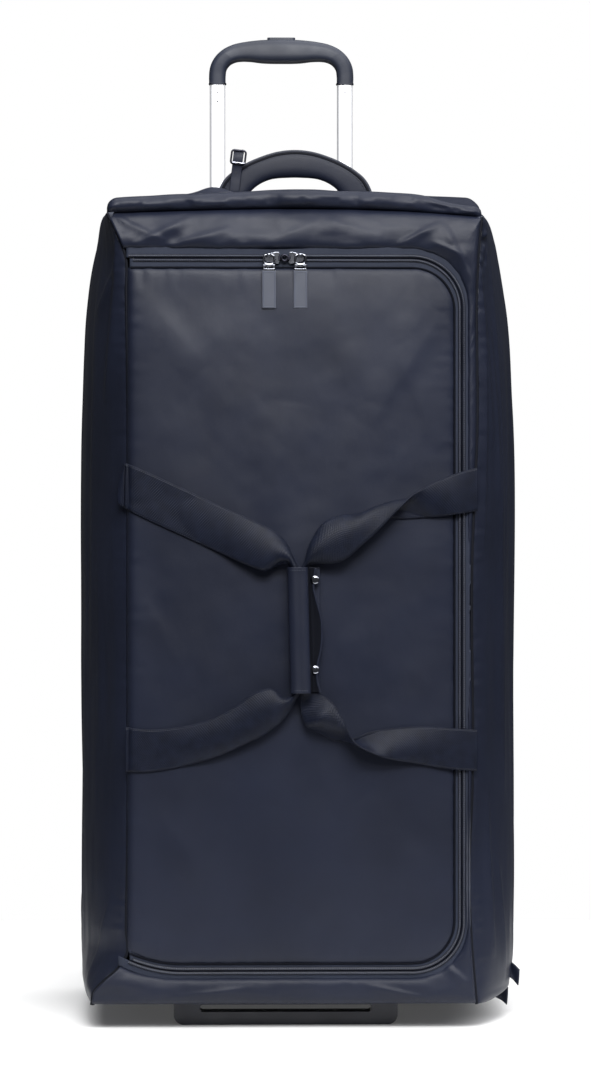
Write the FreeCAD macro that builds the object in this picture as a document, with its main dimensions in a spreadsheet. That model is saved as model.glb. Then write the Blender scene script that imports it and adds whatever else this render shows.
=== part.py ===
"""Rolling duffel bag: soft bag with a zipped door, trolley handle, wheels and a front foot.

Frame: +Z up, the door faces -Y, +X to the right. The origin is on the floor, under the middle
of the bag's bounding box. Lengths are in millimetres.
"""
import FreeCAD, Part
import Sketcher
import os
import re

from FreeCAD import Placement, Rotation, Vector

# alias, value, what it is
DIMENSIONS = [
    ("HalfWidth", 196.5, "half width of the bag at its fullest"),
    ("ShoulderHalf", 176, "half width at the top seam"),
    ("SeamHalf", 155, "front and back side seams from the middle"),
    ("FrontY", -150, "outer face of the front"),
    ("BackY", 172, "outer face of the back"),
    ("FullY", 30, "depth position of the fullest width"),
    ("CornerY", 150, "depth position where the back corner starts"),
    ("Cloth", 4, "padded fabric thickness"),
    ("BagBottom", 21, "underside of the bag"),
    ("Shoulder", 735, "height of the top seam"),
    ("Crown", 752, "highest point of the top panel"),
    ("SeamGap", 0.3, "gap left at a seam between two panels"),
    ("BoardThick", 3, "stiffener boards"),
    ("BoardY", 126, "front face of the back board"),
    ("ZipTop", 689, "middle of the chain, top run"),
    ("ZipBottom", 49, "middle of the chain, bottom run"),
    ("ZipRight", 145, "middle of the chain, right run"),
    ("ZipRadius", 45, "chain corner radius"),
    ("ChainHalf", 4.2, "half width of the closed chain"),
    ("ChainGap", 0.15, "half of the gap between the chain halves"),
    ("ChainThick", 2.6, "thickness of the chain"),
    ("EdgeGap", 5, "chain middle to the edge of the fabric"),
    ("TapeWidth", 8, "visible width of each tape"),
    ("TapeThick", 0.9, "thickness of the tape"),
    ("SliderLength", 14, "length of a slider"),
    ("SliderHalf", 4, "half width of a slider"),
    ("SliderLeftX", -25, "middle of the left slider"),
    ("SliderRightX", -3, "middle of the right slider"),
    ("PlateThick", 1.4, "slider plates"),
    ("RingY", -156.9, "depth of the pull rings"),
    ("RingBarZ", 691.6, "height of the ring's upper bar"),
    ("RingDrop", 8.2, "upper bar to lower bar"),
    ("RingHalf", 3.9, "half width of the ring, on its wire"),
    ("WireRadius", 0.8, "ring wire"),
    ("PinPlay", 0.07, "radial play round the ring wire"),
    ("TabWidth", 12.6, "pull tab"),
    ("TabLength", 34, "pull tab"),
    ("TabThick", 2.4, "pull tab"),
    ("FrameShift", -12, "middle of the trolley and wheels"),
    ("TubeSpacing", 123.4, "between the trolley tubes"),
    ("TubeWidth", 15, "sliding tube, across"),
    ("TubeDepth", 11.5, "sliding tube, front to back"),
    ("TubeWall", 1, "wall of both tubes"),
    ("TubeRound", 3, "corner radius of the sliding tube"),
    ("TubePlay", 0.3, "play between the tubes"),
    ("TubeY", 145, "depth of the trolley tubes"),
    ("OuterTubeFoot", 46, "lower end of the fixed tubes"),
    ("OuterTubeTop", 741, "upper end of the fixed tubes"),
    ("SlideFoot", 190, "lower end of the sliding tubes"),
    ("GripFoot", 877, "underside of the grip's legs"),
    ("GripInner", 898, "underside of the grip's bar"),
    ("GripTop", 920, "top of the grip"),
    ("GripHalf", 71.2, "half width of the grip"),
    ("GripLeg", 19.4, "width of a grip leg"),
    ("GripDepth", 24, "grip, front to back"),
    ("GripRound", 36, "outer corner radius of the grip"),
    ("ButtonLength", 27, "release button"),
    ("ButtonWidth", 12, "release button"),
    ("ButtonProud", 2.5, "button above the grip"),
    ("ButtonPlay", 0.4, "gap round the button"),
    ("RodRadius", 2, "push rods"),
    ("PinRadius", 2.4, "lock pins"),
    ("PinZ", 205, "height of the lock pins at rest"),
    ("WheelTrack", 270, "between the wheels"),
    ("WheelY", 145, "wheel axis depth"),
    ("WheelRadius", 32.5, "tyre radius"),
    ("WheelWidth", 24, "tyre width"),
    ("HubRadius", 24, "hub radius"),
    ("BearingRadius", 9, "bearing outer radius"),
    ("AxleRadius", 4, "axle"),
    ("AxlePlay", 0.06, "radial play in the bearings"),
    ("WheelPlay", 3, "clear space round the wheel"),
    ("HousingWall", 3, "wheel housing wall"),
    ("HousingReach", 16.5, "half width of a wheel housing"),
    ("HousingFront", 106.5, "front face of a wheel housing"),
    ("HousingTop", 71, "top of a wheel housing"),
    ("FootWidth", 202, "front foot"),
    ("FootDepth", 24, "front foot"),
    ("FootY", -108, "middle of the front foot"),
    ("FootLeg", 23.5, "solid part at each end of the foot"),
    ("FootSlotZ", 11.5, "underside of the slot"),
    ("FootSlotHeight", 6.5, "height of the slot"),
    ("FootRound", 9, "lower corner radius of the foot"),
    ("HandleY", 80, "depth of the carry handle"),
    ("HandleHingeZ", 760.5, "height of the carry handle's hinge line"),
    ("HandleOuter", 71.5, "half spread outside its legs"),
    ("HandleInner", 36, "half spread inside its legs"),
    ("HandleTop", 808, "top of the carry handle"),
    ("HandleUnder", 781, "underside of its middle"),
    ("HandleDepth", 14, "thickness of the carry handle"),
    ("HandleSkin", 2.5, "cover of the carry handle"),
    ("PatchThick", 1.5, "sewn patch"),
    ("StrapThick", 1.8, "webbing thickness"),
    ("GripLeft", -13, "left side of the strap wrap"),
    ("GripRight", 8.5, "right side of the strap wrap"),
    ("WrapTop", 413, "upper end of the wrap"),
    ("WrapFoot", 301, "lower end of the wrap"),
    ("WrapFront", -181, "front face of the wrap"),
    ("WrapBack", -166, "back face of the wrap"),
    ("WrapThick", 2, "wrap material"),
    ("SnapRadius", 4.6, "press snap"),
    ("SnapHighZ", 402, "upper snap"),
    ("SnapLowZ", 322, "lower snap"),
    ("FlapReach", 19, "edge of the flap"),
]

doc = FreeCAD.newDocument("RollingDuffel")
dims = doc.addObject("Spreadsheet::Sheet", "dims")
nodes = {}


def fill_sheet():
    for row, (alias, number, note) in enumerate(DIMENSIONS, start=1):
        dims.set("A%d" % row, alias)
        dims.set("B%d" % row, str(number))
        dims.setAlias("B%d" % row, alias)
        dims.set("C%d" % row, note)
    doc.recompute()


def bound(text):
    """An expression with the sheet's name put before each dimension."""
    return re.sub(r"\b([A-Z][A-Za-z]+)\b", r"dims.\1", str(text))


def value(text):
    return float(dims.evalExpression(str(text)))


def bind(item, prop, text):
    item.setExpression(prop, bound(text))


def node(label, item):
    """Mark an object as a finished sub-part."""
    item.Label = label
    nodes[label] = item
    return item


# ---------------------------------------------------------------- primitives

def box(low, high):
    """A block between two corners, each a triple of expressions."""
    item = doc.addObject("Part::Box", "Block")
    for prop, start, end in zip(("Length", "Width", "Height"), low, high):
        bind(item, prop, "(%s) - (%s)" % (end, start))
    for axis, start in zip("xyz", low):
        bind(item, "Placement.Base." + axis, start)
    return item


TURNS = {
    "x": Rotation(Vector(0, 1, 0), 90),
    "y": Rotation(Vector(1, 0, 0), -90),
    "z": Rotation(),
}


def cylinder(axis, start, length, radius):
    """A round bar that leaves `start` along +axis."""
    item = doc.addObject("Part::Cylinder", "Round")
    item.Placement = Placement(Vector(), TURNS[axis])
    bind(item, "Radius", radius)
    bind(item, "Height", length)
    for letter, place in zip("xyz", start):
        bind(item, "Placement.Base." + letter, place)
    return item


def bar_x(centre, length, radius):
    """A round bar along X about its centre."""
    x, y, z = centre
    return cylinder("x", ("(%s) - (%s)/2" % (x, length), y, z), length, radius)


def joined(kind, prop, items):
    item = doc.addObject(kind, kind.split("::")[1])
    setattr(item, prop, list(items))
    return item


def fuse(*items):
    return joined("Part::MultiFuse", "Shapes", items)


def group(*items):
    return joined("Part::Compound", "Links", items)


def cut(base, *tools):
    item = doc.addObject("Part::Cut", "Cut")
    item.Base = base
    item.Tool = tools[0] if len(tools) == 1 else group(*tools)
    return item


def common(base, tool):
    item = doc.addObject("Part::Common", "Common")
    item.Base = base
    item.Tool = tool
    return item


def solid(shape):
    """A sub-part whose shape is worked out in code."""
    item = doc.addObject("Part::Feature", "Solid")
    item.Shape = shape
    return item


def mirrored(source):
    """The same piece on the other side of the bag's middle plane."""
    item = doc.addObject("Part::Mirroring", "Mirror")
    item.Source = source
    item.Normal = Vector(1, 0, 0)
    return item


# ---------------------------------------------------------------- sketched plates

def polygon_sketch(body, plane, corners):
    """A closed outline whose corners are pairs of expressions."""
    sketch = body.newObject("Sketcher::SketchObject", "Outline")
    origin = [part for part in body.Origin.OriginFeatures if part.Role == plane][0]
    sketch.AttachmentSupport = [(origin, "")]
    sketch.MapMode = "FlatFace"
    points = [Vector(value(corner[0]), value(corner[1]), 0) for corner in corners]
    count = len(points)
    for index in range(count):
        edge = Part.LineSegment(points[index], points[(index + 1) % count])
        sketch.addGeometry(edge, False)
    for index in range(count):
        sketch.addConstraint(Sketcher.Constraint("Coincident", index, 2, (index + 1) % count, 1))
    for index, corner in enumerate(corners):
        for kind, text, number in (("DistanceX", corner[0], points[index].x),
                                   ("DistanceY", corner[1], points[index].y)):
            row = sketch.addConstraint(Sketcher.Constraint(kind, -1, 1, index, 1, number))
            bind(sketch, "Constraints[%d]" % row, text)
    return sketch


def along_normal(plane, place):
    """A place along +Y as an offset of the XZ plane, whose normal is -Y; others as they are."""
    return "-(%s)" % place if plane == "XZ_Plane" else place


def plate(plane, corners, start, thickness):
    """A PartDesign pad of an outline; a corner's third item is its rounding radius."""
    body = doc.addObject("PartDesign::Body", "Plate")
    sketch = polygon_sketch(body, plane, corners)
    bind(sketch, "AttachmentOffset.Base.z", along_normal(plane, start))
    pad = body.newObject("PartDesign::Pad", "Pad")
    pad.Profile = sketch
    bind(pad, "Length", thickness)
    doc.recompute()
    for radius in sorted({corner[2] for corner in corners if len(corner) > 2}):
        chosen = [corner for corner in corners if len(corner) > 2 and corner[2] == radius]
        base = body.Tip
        fillet = body.newObject("PartDesign::Fillet", "Rounding")
        fillet.Base = (base, corner_edges(base, plane, chosen))
        bind(fillet, "Radius", radius)
        doc.recompute()
    return body


PLANE_AXES = {"XY_Plane": (0, 1), "XZ_Plane": (0, 2), "YZ_Plane": (1, 2)}


def corner_edges(feature, plane, corners):
    """Names of the edges that stand on the given corners of a pad."""
    across, up = PLANE_AXES[plane]
    found = []
    for index, edge in enumerate(feature.Shape.Edges, start=1):
        first, last = edge.Vertexes[0].Point, edge.Vertexes[-1].Point
        for corner in corners:
            target = (value(corner[0]), value(corner[1]))
            if all(abs(end[across] - target[0]) < 0.01 and abs(end[up] - target[1]) < 0.01
                   for end in (first, last)):
                found.append("Edge%d" % index)
    return found


def rectangle(low_u, low_v, high_u, high_v, radius=None):
    corners = [(low_u, low_v), (high_u, low_v), (high_u, high_v), (low_u, high_v)]
    return [corner + (radius,) if radius else corner for corner in corners]


def door_outline(offset):
    """The zipper's line moved outward by `offset`: square at the left seam, round at the right."""
    left = "-SeamHalf + SeamGap"
    right = "ZipRight + (%s)" % offset
    top = "ZipTop + (%s)" % offset
    bottom = "ZipBottom - (%s)" % offset
    radius = "ZipRadius + (%s)" % offset
    return [(left, bottom), (right, bottom, radius), (right, top, radius), (left, top)]


def door_band(inner, outer, front, thickness):
    """A strip that follows the zipper between two offsets."""
    back = "%s + %s" % (front, thickness)
    outside = plate("XZ_Plane", door_outline(outer), back, thickness)
    hole = plate("XZ_Plane", door_outline(inner), "%s + 1" % back, "%s + 2" % thickness)
    clear = box(("-SeamHalf - 2", "%s - 1" % front, "ZipBottom - (%s)" % inner),
                ("-SeamHalf + 1", "%s + 1" % back, "ZipTop + (%s)" % inner))
    return cut(outside, hole, clear)


# ---------------------------------------------------------------- bag shell

def side_section(height, half):
    """Closed outline of a side panel at one height: two arcs outside, two inside."""
    seam = value("SeamHalf + SeamGap")
    front, back = value("FrontY"), value("BackY")
    full, corner, cloth = value("FullY"), value("CornerY"), value("Cloth")
    turn = half - 0.42 * (half - seam)

    def curve(inset):
        front_end = Vector(seam, front + inset, height)
        fullest = Vector(half - inset, full, height)
        bend = Vector(turn - inset, corner, height)
        round_mid = Vector(seam + 0.72 * (turn - seam) - 0.6 * inset, back - 6 - 0.8 * inset, height)
        back_end = Vector(seam, back - inset, height)
        return [Part.Arc(front_end, fullest, bend).toShape(),
                Part.Arc(bend, round_mid, back_end).toShape()]

    outer, inner = curve(0), curve(cloth)
    closing = [Part.LineSegment(outer[1].Vertexes[-1].Point, inner[1].Vertexes[-1].Point).toShape(),
               Part.LineSegment(outer[0].Vertexes[0].Point, inner[0].Vertexes[0].Point).toShape()]
    return Part.Wire(Part.__sortEdges__(outer + inner + closing))


def bag_sides():
    low, high = value("BagBottom + BoardThick"), value("Shoulder - Cloth - SeamGap")
    half, shoulder = value("HalfWidth"), value("ShoulderHalf")
    levels = [(low, half - 4), (low + 60, half), (high - 175, half), (high - 80, half - 7),
              (high, shoulder)]
    wires = [side_section(height, width) for height, width in levels]
    panel = node("side_panel_right", solid(Part.makeLoft(wires, True, True)))
    notch = box(("-HalfWidth", "HousingFront - 1", "0"),
                ("%s + HousingReach + 1" % wheel_x(-1), "BackY + 5", "HousingTop + 1"))
    node("side_panel_left", cut(mirrored(panel), notch))


CROWN_RADIUS = "((ShoulderHalf^2 + (Crown - Shoulder)^2)/(2*(Crown - Shoulder)))"


def crown_bar(inset):
    """A long round bar whose upper side is the crown of the top panel, less `inset`."""
    return cylinder("y", ("0", "FrontY - 5", "Crown - %s" % CROWN_RADIUS), "BackY - FrontY + 10",
                    "%s - (%s)" % (CROWN_RADIUS, inset))


def crown_shell(inset, thickness):
    return cut(crown_bar(inset), crown_bar("%s + %s" % (inset, thickness)))


def under_crown(item):
    """Trim an upright panel to the underside of the top panel."""
    return common(item, crown_bar("Cloth"))


def plan_prism(low, height, half_width):
    """The bag seen from above, less a seam gap, as a prism."""
    seam, half = value("SeamHalf"), value(half_width)
    front, full = value("FrontY + SeamGap"), value("FullY")
    corner, back = value("CornerY"), value("BackY - SeamGap")
    turn = half - 0.42 * (half - seam)
    right = [Part.Arc(Vector(seam, front, 0), Vector(half, full, 0), Vector(turn, corner, 0)),
             Part.Arc(Vector(turn, corner, 0), Vector(seam + 0.72 * (turn - seam), back - 6, 0),
                      Vector(seam, back, 0))]
    left = [Part.Arc(Vector(-seam, front, 0), Vector(-half, full, 0), Vector(-turn, corner, 0)),
            Part.Arc(Vector(-turn, corner, 0), Vector(-seam - 0.72 * (turn - seam), back - 6, 0),
                     Vector(-seam, back, 0))]
    ends = [Part.LineSegment(Vector(-seam, y, 0), Vector(seam, y, 0)) for y in (front, back)]
    wire = Part.Wire(Part.__sortEdges__([curve.toShape() for curve in right + left + ends]))
    prism = Part.Face(wire).extrude(Vector(0, 0, value(height)))
    prism.translate(Vector(0, 0, value(low)))
    return solid(prism)


def tube_x(side):
    return "FrameShift + (%d)*TubeSpacing/2" % side


def tube_block(side, grow, low, high):
    """A rounded bar the size of the sliding tube plus `grow` on each side."""
    x, across, deep = tube_x(side), "TubeWidth/2 + (%s)" % grow, "TubeDepth/2 + (%s)" % grow
    corners = rectangle("%s - (%s)" % (x, across), "TubeY - (%s)" % deep,
                        "%s + (%s)" % (x, across), "TubeY + (%s)" % deep,
                        "TubeRound + (%s)" % grow)
    return plate("XY_Plane", corners, low, "(%s) - (%s)" % (high, low))


def bag_panels():
    holes = [tube_block(side, "TubePlay + TubeWall + 0.3", "Shoulder - 5", "Crown + 9")
             for side in (-1, 1)]
    outline = plan_prism("Shoulder - 4", "Crown + 20 - Shoulder", "ShoulderHalf - 0.5")
    node("top_panel", cut(common(crown_shell("0", "Cloth"), outline), *holes))
    back = plate("XZ_Plane", rectangle("-SeamHalf", "HousingTop + 1", "SeamHalf", "Crown"),
                 "BackY", "Cloth")
    node("back_panel", under_crown(back))
    floor = box(("-HalfWidth - 9", "FrontY + Cloth + SeamGap", "BagBottom"),
                ("HalfWidth + 9", "HousingFront - 1", "BagBottom + BoardThick"))
    node("bottom_panel", common(plan_prism("BagBottom", "BoardThick", "HalfWidth - 4"), floor))
    board = rectangle("-SeamHalf", "FrontY + Cloth + SeamGap", "SeamHalf", "HousingFront - 1", "12")
    node("base_board", plate("XY_Plane", board, "BagBottom + BoardThick", "BoardThick"))
    board = rectangle("-SeamHalf + 12", "HousingTop + 1", "SeamHalf - 12", "Shoulder - 12", "10")
    node("back_board", plate("XZ_Plane", board, "BoardY + BoardThick", "BoardThick"))
    kick_half = "WheelTrack/2 - HousingReach - 0.5"
    kick = rectangle("FrameShift - (%s)" % kick_half, "BagBottom + BoardThick + 1",
                     "FrameShift + %s" % kick_half, "HousingTop", "6")
    node("rear_kick_plate", plate("XZ_Plane", kick, "BackY + 2", "Cloth"))


def front_panels():
    outline = rectangle("-SeamHalf + SeamGap", "BagBottom", "SeamHalf", "Crown")
    whole = plate("XZ_Plane", outline, "FrontY + Cloth", "Cloth")
    hole = plate("XZ_Plane", door_outline("EdgeGap"), "FrontY + Cloth + 1", "Cloth + 2")
    seam_side = box(("-SeamHalf - 1", "FrontY - 1", "ZipBottom - EdgeGap"),
                    ("-SeamHalf + 1", "FrontY + Cloth + 1", "ZipTop + EdgeGap"))
    node("front_frame", under_crown(cut(whole, hole, seam_side)))
    node("door_panel", plate("XZ_Plane", door_outline("-EdgeGap"), "FrontY + Cloth", "Cloth"))


def zipper():
    tape_front = "FrontY - TapeThick"
    node("zipper_tape_door", door_band("-EdgeGap - TapeWidth", "-EdgeGap", tape_front, "TapeThick"))
    node("zipper_tape_frame", door_band("EdgeGap", "EdgeGap + 4.5", tape_front, "TapeThick"))
    chain_front = "FrontY - TapeThick - ChainThick"
    for name, inner, outer in (("zipper_chain_door", "-ChainHalf", "-ChainGap"),
                               ("zipper_chain_frame", "ChainGap", "ChainHalf")):
        open_teeth = box(("SliderLeftX + 3", "FrontY - 10", "ZipTop - 10"),
                         ("SliderRightX - 3", "FrontY + 10", "ZipTop + 10"))
        node(name, cut(door_band(inner, outer, chain_front, "ChainThick"), open_teeth))


# ---------------------------------------------------------------- sliders and pulls

def slider(name, middle, inward):
    """Two plates over and under the chain, a post between them, a bail and a lock eyelet."""
    low, high = "%s - SliderLength/2" % middle, "%s + SliderLength/2" % middle
    chain_front = "FrontY - TapeThick - ChainThick"
    front = "%s - 0.15" % chain_front
    top = plate("XZ_Plane", rectangle(low, "ZipTop - SliderHalf", high, "ZipTop + SliderHalf", "2"),
                front, "PlateThick")
    back_face = "FrontY - TapeThick + 0.15"
    bottom = plate("XZ_Plane", rectangle(low, "ZipTop - SliderHalf", high, "ZipTop + SliderHalf", "2"),
                   "%s + PlateThick" % back_face, "PlateThick")
    post = cylinder("y", ("%s + (%d)*4.6" % (middle, inward), "%s - 0.2" % front, "ZipTop"),
                    "%s + 0.4 - (%s)" % (back_face, front), "1.2")
    bail = box(("%s - 1.3" % middle, "RingY - 1.9", "RingBarZ - 1.7"),
               ("%s + 1.3" % middle, "%s - PlateThick + 0.2" % front, "RingBarZ + 1.7"))
    bore = bar_x((middle, "RingY", "RingBarZ"), "8", "WireRadius + PinPlay")
    layer = "%s - PlateThick" % front if inward > 0 else "%s - PlateThick - 1.3" % front
    centre = "%s + (%d)*(SliderLength/2 + 3.6)" % (middle, inward)
    eyelet = cut(cylinder("y", (centre, "%s + 0.1" % layer, "ZipTop"), "1.2", "3.6"),
                 cylinder("y", (centre, "%s - 1" % layer, "ZipTop"), "4", "1.9"))
    near, far = "%s + (%d)*5.2" % (middle, inward), "%s - (%d)*2.6" % (centre, inward)
    neck_low, neck_high = (near, far) if inward > 0 else (far, near)
    neck = box((neck_low, "%s + 0.1" % layer, "ZipTop - 2"),
               (neck_high, "%s + 1.4" % layer, "ZipTop + 2"))
    node(name, cut(fuse(top, bottom, post, bail, eyelet, neck), bore))


def ring_path(middle):
    """Eight-sided ring of wire seen from the front."""
    x = value(middle)
    half, corner = value("RingHalf"), 1.7
    y, high = value("RingY"), value("RingBarZ")
    low = high - value("RingDrop")
    flat = half - corner
    points = [(-flat, high), (flat, high), (half, high - corner), (half, low + corner),
              (flat, low), (-flat, low), (-half, low + corner), (-half, high - corner)]
    return [Vector(x + across, y, up) for across, up in points]


def ring(name, middle):
    path = ring_path(middle)
    start = (path[0] + path[1]) * 0.5
    spine = Part.makePolygon([start] + path[1:] + [path[0], start])
    section = Part.Wire([Part.makeCircle(value("WireRadius"), start, Vector(1, 0, 0))])
    node(name, solid(spine.makePipeShell([section], True, False, 1)))


def pull(side, middle):
    """The clamp round the ring's lower bar and the tab below it."""
    bar_z = "RingBarZ - RingDrop"
    tab_top = "%s - 5.6" % bar_z
    knuckle = fuse(bar_x((middle, "RingY", bar_z), "3", "WireRadius + 1"),
                   box(("%s - 1.5" % middle, "RingY - 1.1", "%s - 2.6" % bar_z),
                       ("%s + 1.5" % middle, "RingY + 1.1", bar_z)))
    jaw = plate("XZ_Plane", rectangle("%s - 5.6" % middle, "%s - 8.6" % bar_z, "%s + 5.6" % middle,
                                      "%s - 2.4" % bar_z, "1.2"), "RingY + 1.6", "3.2")
    bore = bar_x((middle, "RingY", bar_z), "8", "WireRadius + PinPlay")
    slot = box(("%s - 2.5" % middle, "RingY - 2", "%s - 5" % bar_z),
               ("%s + 2.5" % middle, "RingY + 2", "%s - 3.8" % bar_z))
    tab = plate("XZ_Plane", rectangle("%s - TabWidth/2" % middle, "%s - TabLength" % tab_top,
                                      "%s + TabWidth/2" % middle, tab_top, "2.2"),
                "RingY + TabThick/2", "TabThick")
    node("pull_clamp_" + side, cut(fuse(knuckle, jaw), bore, slot, tab))
    node("pull_tab_" + side, tab)


def sliders_and_pulls():
    for side, middle, inward in (("left", "SliderLeftX", 1), ("right", "SliderRightX", -1)):
        slider("slider_" + side, middle, inward)
        ring("pull_ring_" + side, middle)
        pull(side, middle)


# ---------------------------------------------------------------- straps and wrap

def ribbon(stations):
    """Webbing between stations of (x, front y, top z, bottom z)."""
    thick = value("StrapThick")
    wires = []
    for x, y, high, low in stations:
        corners = [Vector(x, y, low), Vector(x, y + thick, low), Vector(x, y + thick, high),
                   Vector(x, y, high)]
        wires.append(Part.makePolygon(corners + [corners[0]]))
    return Part.makeLoft(wires, True, True)


def strap(side, layer, seam, mid):
    """One webbing loop: out from the seam, down through the wrap and back to the seam."""
    left, right = value("GripLeft + WrapThick + 1"), value("GripRight - 1")
    top, foot = value("WrapTop"), value("WrapFoot")
    near, end = (left, right) if side < 0 else (right, left)
    face = value("FrontY - TapeThick - ChainThick - StrapThick - 0.4")
    sewn = [(seam, value("FrontY - StrapThick - 0.2")), (seam - side * 6, face)]
    spread = [(mid, face - 5), (near + side * 34, layer + 3), (near, layer), (end, layer)]
    heights = ([503, 502, 482, top + 42, top + 30, top + 10], [466, 465, 441, top + 8, top, top])
    upper = ribbon([station + (high, low) for station, high, low in zip(sewn + spread, *heights)])
    heights = ([270, 270, 266, foot - 4, foot, foot], [232, 232, 229, foot - 38, foot - 30, foot - 10])
    lower = ribbon([station + (high, low) for station, high, low in zip(sewn + spread, *heights)])
    thick = value("StrapThick")
    middle = Part.makeBox(right - left, thick, top - foot, Vector(left, layer, foot))
    return upper.fuse(middle).fuse(lower).removeSplitter()


def straps_and_wrap():
    front_layer = value("WrapFront + WrapThick + 1.2")
    back_layer = value("WrapBack - WrapThick - 1 - StrapThick")
    node("strap_left", solid(strap(-1, front_layer, value("-SeamHalf + 7"), -90)))
    node("strap_right", solid(strap(1, back_layer, value("SeamHalf + 2"), 90)))
    outer = plate("XY_Plane", rectangle("GripLeft", "WrapFront", "GripRight", "WrapBack", "4"),
                  "WrapFoot", "WrapTop - WrapFoot")
    inner = plate("XY_Plane", rectangle("GripLeft + WrapThick", "WrapFront + WrapThick",
                                        "GripRight + 5", "WrapBack - WrapThick"),
                  "WrapFoot - 1", "WrapTop - WrapFoot + 2")
    leaf = box(("GripRight - 5", "WrapBack - WrapThick", "WrapFoot"),
               ("FlapReach - 1", "WrapBack", "WrapTop"))
    mouth = box(("GripRight - 5", "WrapFront - 1", "WrapFoot - 1"),
                ("GripRight + 2", "WrapBack - WrapThick", "WrapTop + 1"))
    node("grip_wrap", fuse(cut(outer, inner, mouth), leaf))
    hinge_x, hinge_y = "GripRight - 4.2", "WrapFront"
    flap_face = "WrapBack - WrapThick - 4.75"
    slope = [(hinge_x, hinge_y), ("GripRight + 1", hinge_y), ("GripRight + 3.5", flap_face),
             ("FlapReach", flap_face), ("FlapReach", "%s + WrapThick" % flap_face),
             ("GripRight + 1.8", "%s + WrapThick" % flap_face), ("GripRight", "WrapFront + WrapThick"),
             (hinge_x, "WrapFront + WrapThick")]
    node("grip_flap", plate("XY_Plane", slope, "WrapFoot + 1", "WrapTop - WrapFoot - 2"))
    snap_x = "GripRight + 7.2"
    caps, sockets = [], []
    for height in ("SnapHighZ", "SnapLowZ"):
        caps.append(fuse(cylinder("y", (snap_x, "%s - 1.2" % flap_face, height), "1.2", "SnapRadius - 1.5"),
                         cylinder("y", (snap_x, "%s + WrapThick" % flap_face, height), "1.2",
                                  "SnapRadius - 2.2")))
        sockets.append(cylinder("y", (snap_x, "WrapBack - WrapThick - 1.4", height), "1.4",
                                "SnapRadius - 1.5"))
    node("snap_caps", group(*caps))
    node("snap_sockets", group(*sockets))


# ---------------------------------------------------------------- trolley

def sliding_and_fixed_tubes():
    inner, outer = [], []
    for side in (-1, 1):
        inner.append(cut(tube_block(side, "0", "SlideFoot", "GripFoot + 12"),
                         tube_block(side, "-TubeWall", "SlideFoot - 1", "GripFoot + 13"),
                         cylinder("x", ("%s - 20" % tube_x(side), "TubeY", "PinZ"), "40",
                                  "PinRadius + 0.3")))
        detents = [cylinder("x", ("%s - 20" % tube_x(side), "TubeY", height), "40", "PinRadius + 0.5")
                   for height in ("PinZ - 120", "PinZ + 175")]
        outer.append(cut(tube_block(side, "TubePlay + TubeWall", "OuterTubeFoot", "OuterTubeTop"),
                         tube_block(side, "TubePlay", "OuterTubeFoot - 1", "OuterTubeTop + 1"),
                         *detents))
    node("trolley_inner_tubes", group(*inner))
    node("trolley_outer_tubes", group(*outer))


def tube_mounts():
    """The bezel on the top panel and the socket at the foot of the fixed tubes."""
    plate_half = "TubeSpacing/2 + 19"
    bezel = plate("XY_Plane", rectangle("FrameShift - (%s)" % plate_half, "TubeY - 13",
                                        "FrameShift + %s" % plate_half, "TubeY + 13", "9"),
                  "Crown + 0.2", "5")
    wells = [tube_block(side, "TubePlay + 0.4", "Shoulder - 5", "Crown + 9") for side in (-1, 1)]
    node("tube_bezel", cut(bezel, *wells))
    foot = "BagBottom + BoardThick + BoardThick"
    socket = plate("XY_Plane", rectangle("FrameShift - 84", "TubeY - 12", "FrameShift + 84",
                                         "TubeY + 12", "5"), foot, "58 - (%s)" % foot)
    pockets = [tube_block(side, "TubePlay + TubeWall", "OuterTubeFoot", "OuterTubeFoot + 40")
               for side in (-1, 1)]
    node("tube_socket", cut(socket, *pockets))


def trolley_grip():
    left, right = "FrameShift - GripHalf", "FrameShift + GripHalf"
    outline = [(left, "GripFoot"), ("%s + GripLeg" % left, "GripFoot"),
               ("%s + GripLeg" % left, "GripInner", "13"),
               ("%s - GripLeg" % right, "GripInner", "13"), ("%s - GripLeg" % right, "GripFoot"),
               (right, "GripFoot"), (right, "GripTop", "GripRound"), (left, "GripTop", "GripRound")]
    whole = plate("XZ_Plane", outline, "TubeY + GripDepth/2", "GripDepth")
    tunnel = box(("FrameShift - TubeSpacing/2 - 3.4", "TubeY - 4", "GripInner + 3"),
                 ("FrameShift + TubeSpacing/2 + 3.4", "TubeY + 4", "GripInner + 11"))
    well = box(("FrameShift - ButtonLength/2 - ButtonPlay", "TubeY - ButtonWidth/2 - ButtonPlay",
                "GripInner + 3"),
               ("FrameShift + ButtonLength/2 + ButtonPlay", "TubeY + ButtonWidth/2 + ButtonPlay",
                "GripTop + 5"))
    wells = [tube_block(side, "0", "GripFoot - 1", "GripFoot + 12") for side in (-1, 1)]
    shafts = [cylinder("z", (tube_x(side), "TubeY", "GripFoot + 10"), "20", "RodRadius + 1.2")
              for side in (-1, 1)]
    node("trolley_grip", cut(whole, tunnel, well, *(wells + shafts)))
    rivets = []
    for side in (-1, 1):
        for drop in (8, 17):
            rivets.append(cylinder("y", (tube_x(side), "TubeY - TubeDepth/2 - 0.2",
                                         "GripFoot - %d" % drop), "TubeWall + 0.2", "1.8"))
    node("grip_rivets", group(*rivets))
    tubes = nodes["trolley_inner_tubes"]
    holes = [cylinder("y", (tube_x(side), "TubeY - TubeDepth/2 - 1", "GripFoot - %d" % drop),
                      "TubeWall + 1.2", "1.8") for side in (-1, 1) for drop in (8, 17)]
    tubes.Label = "tubes before drilling"
    node("trolley_inner_tubes", cut(tubes, *holes))


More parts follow.
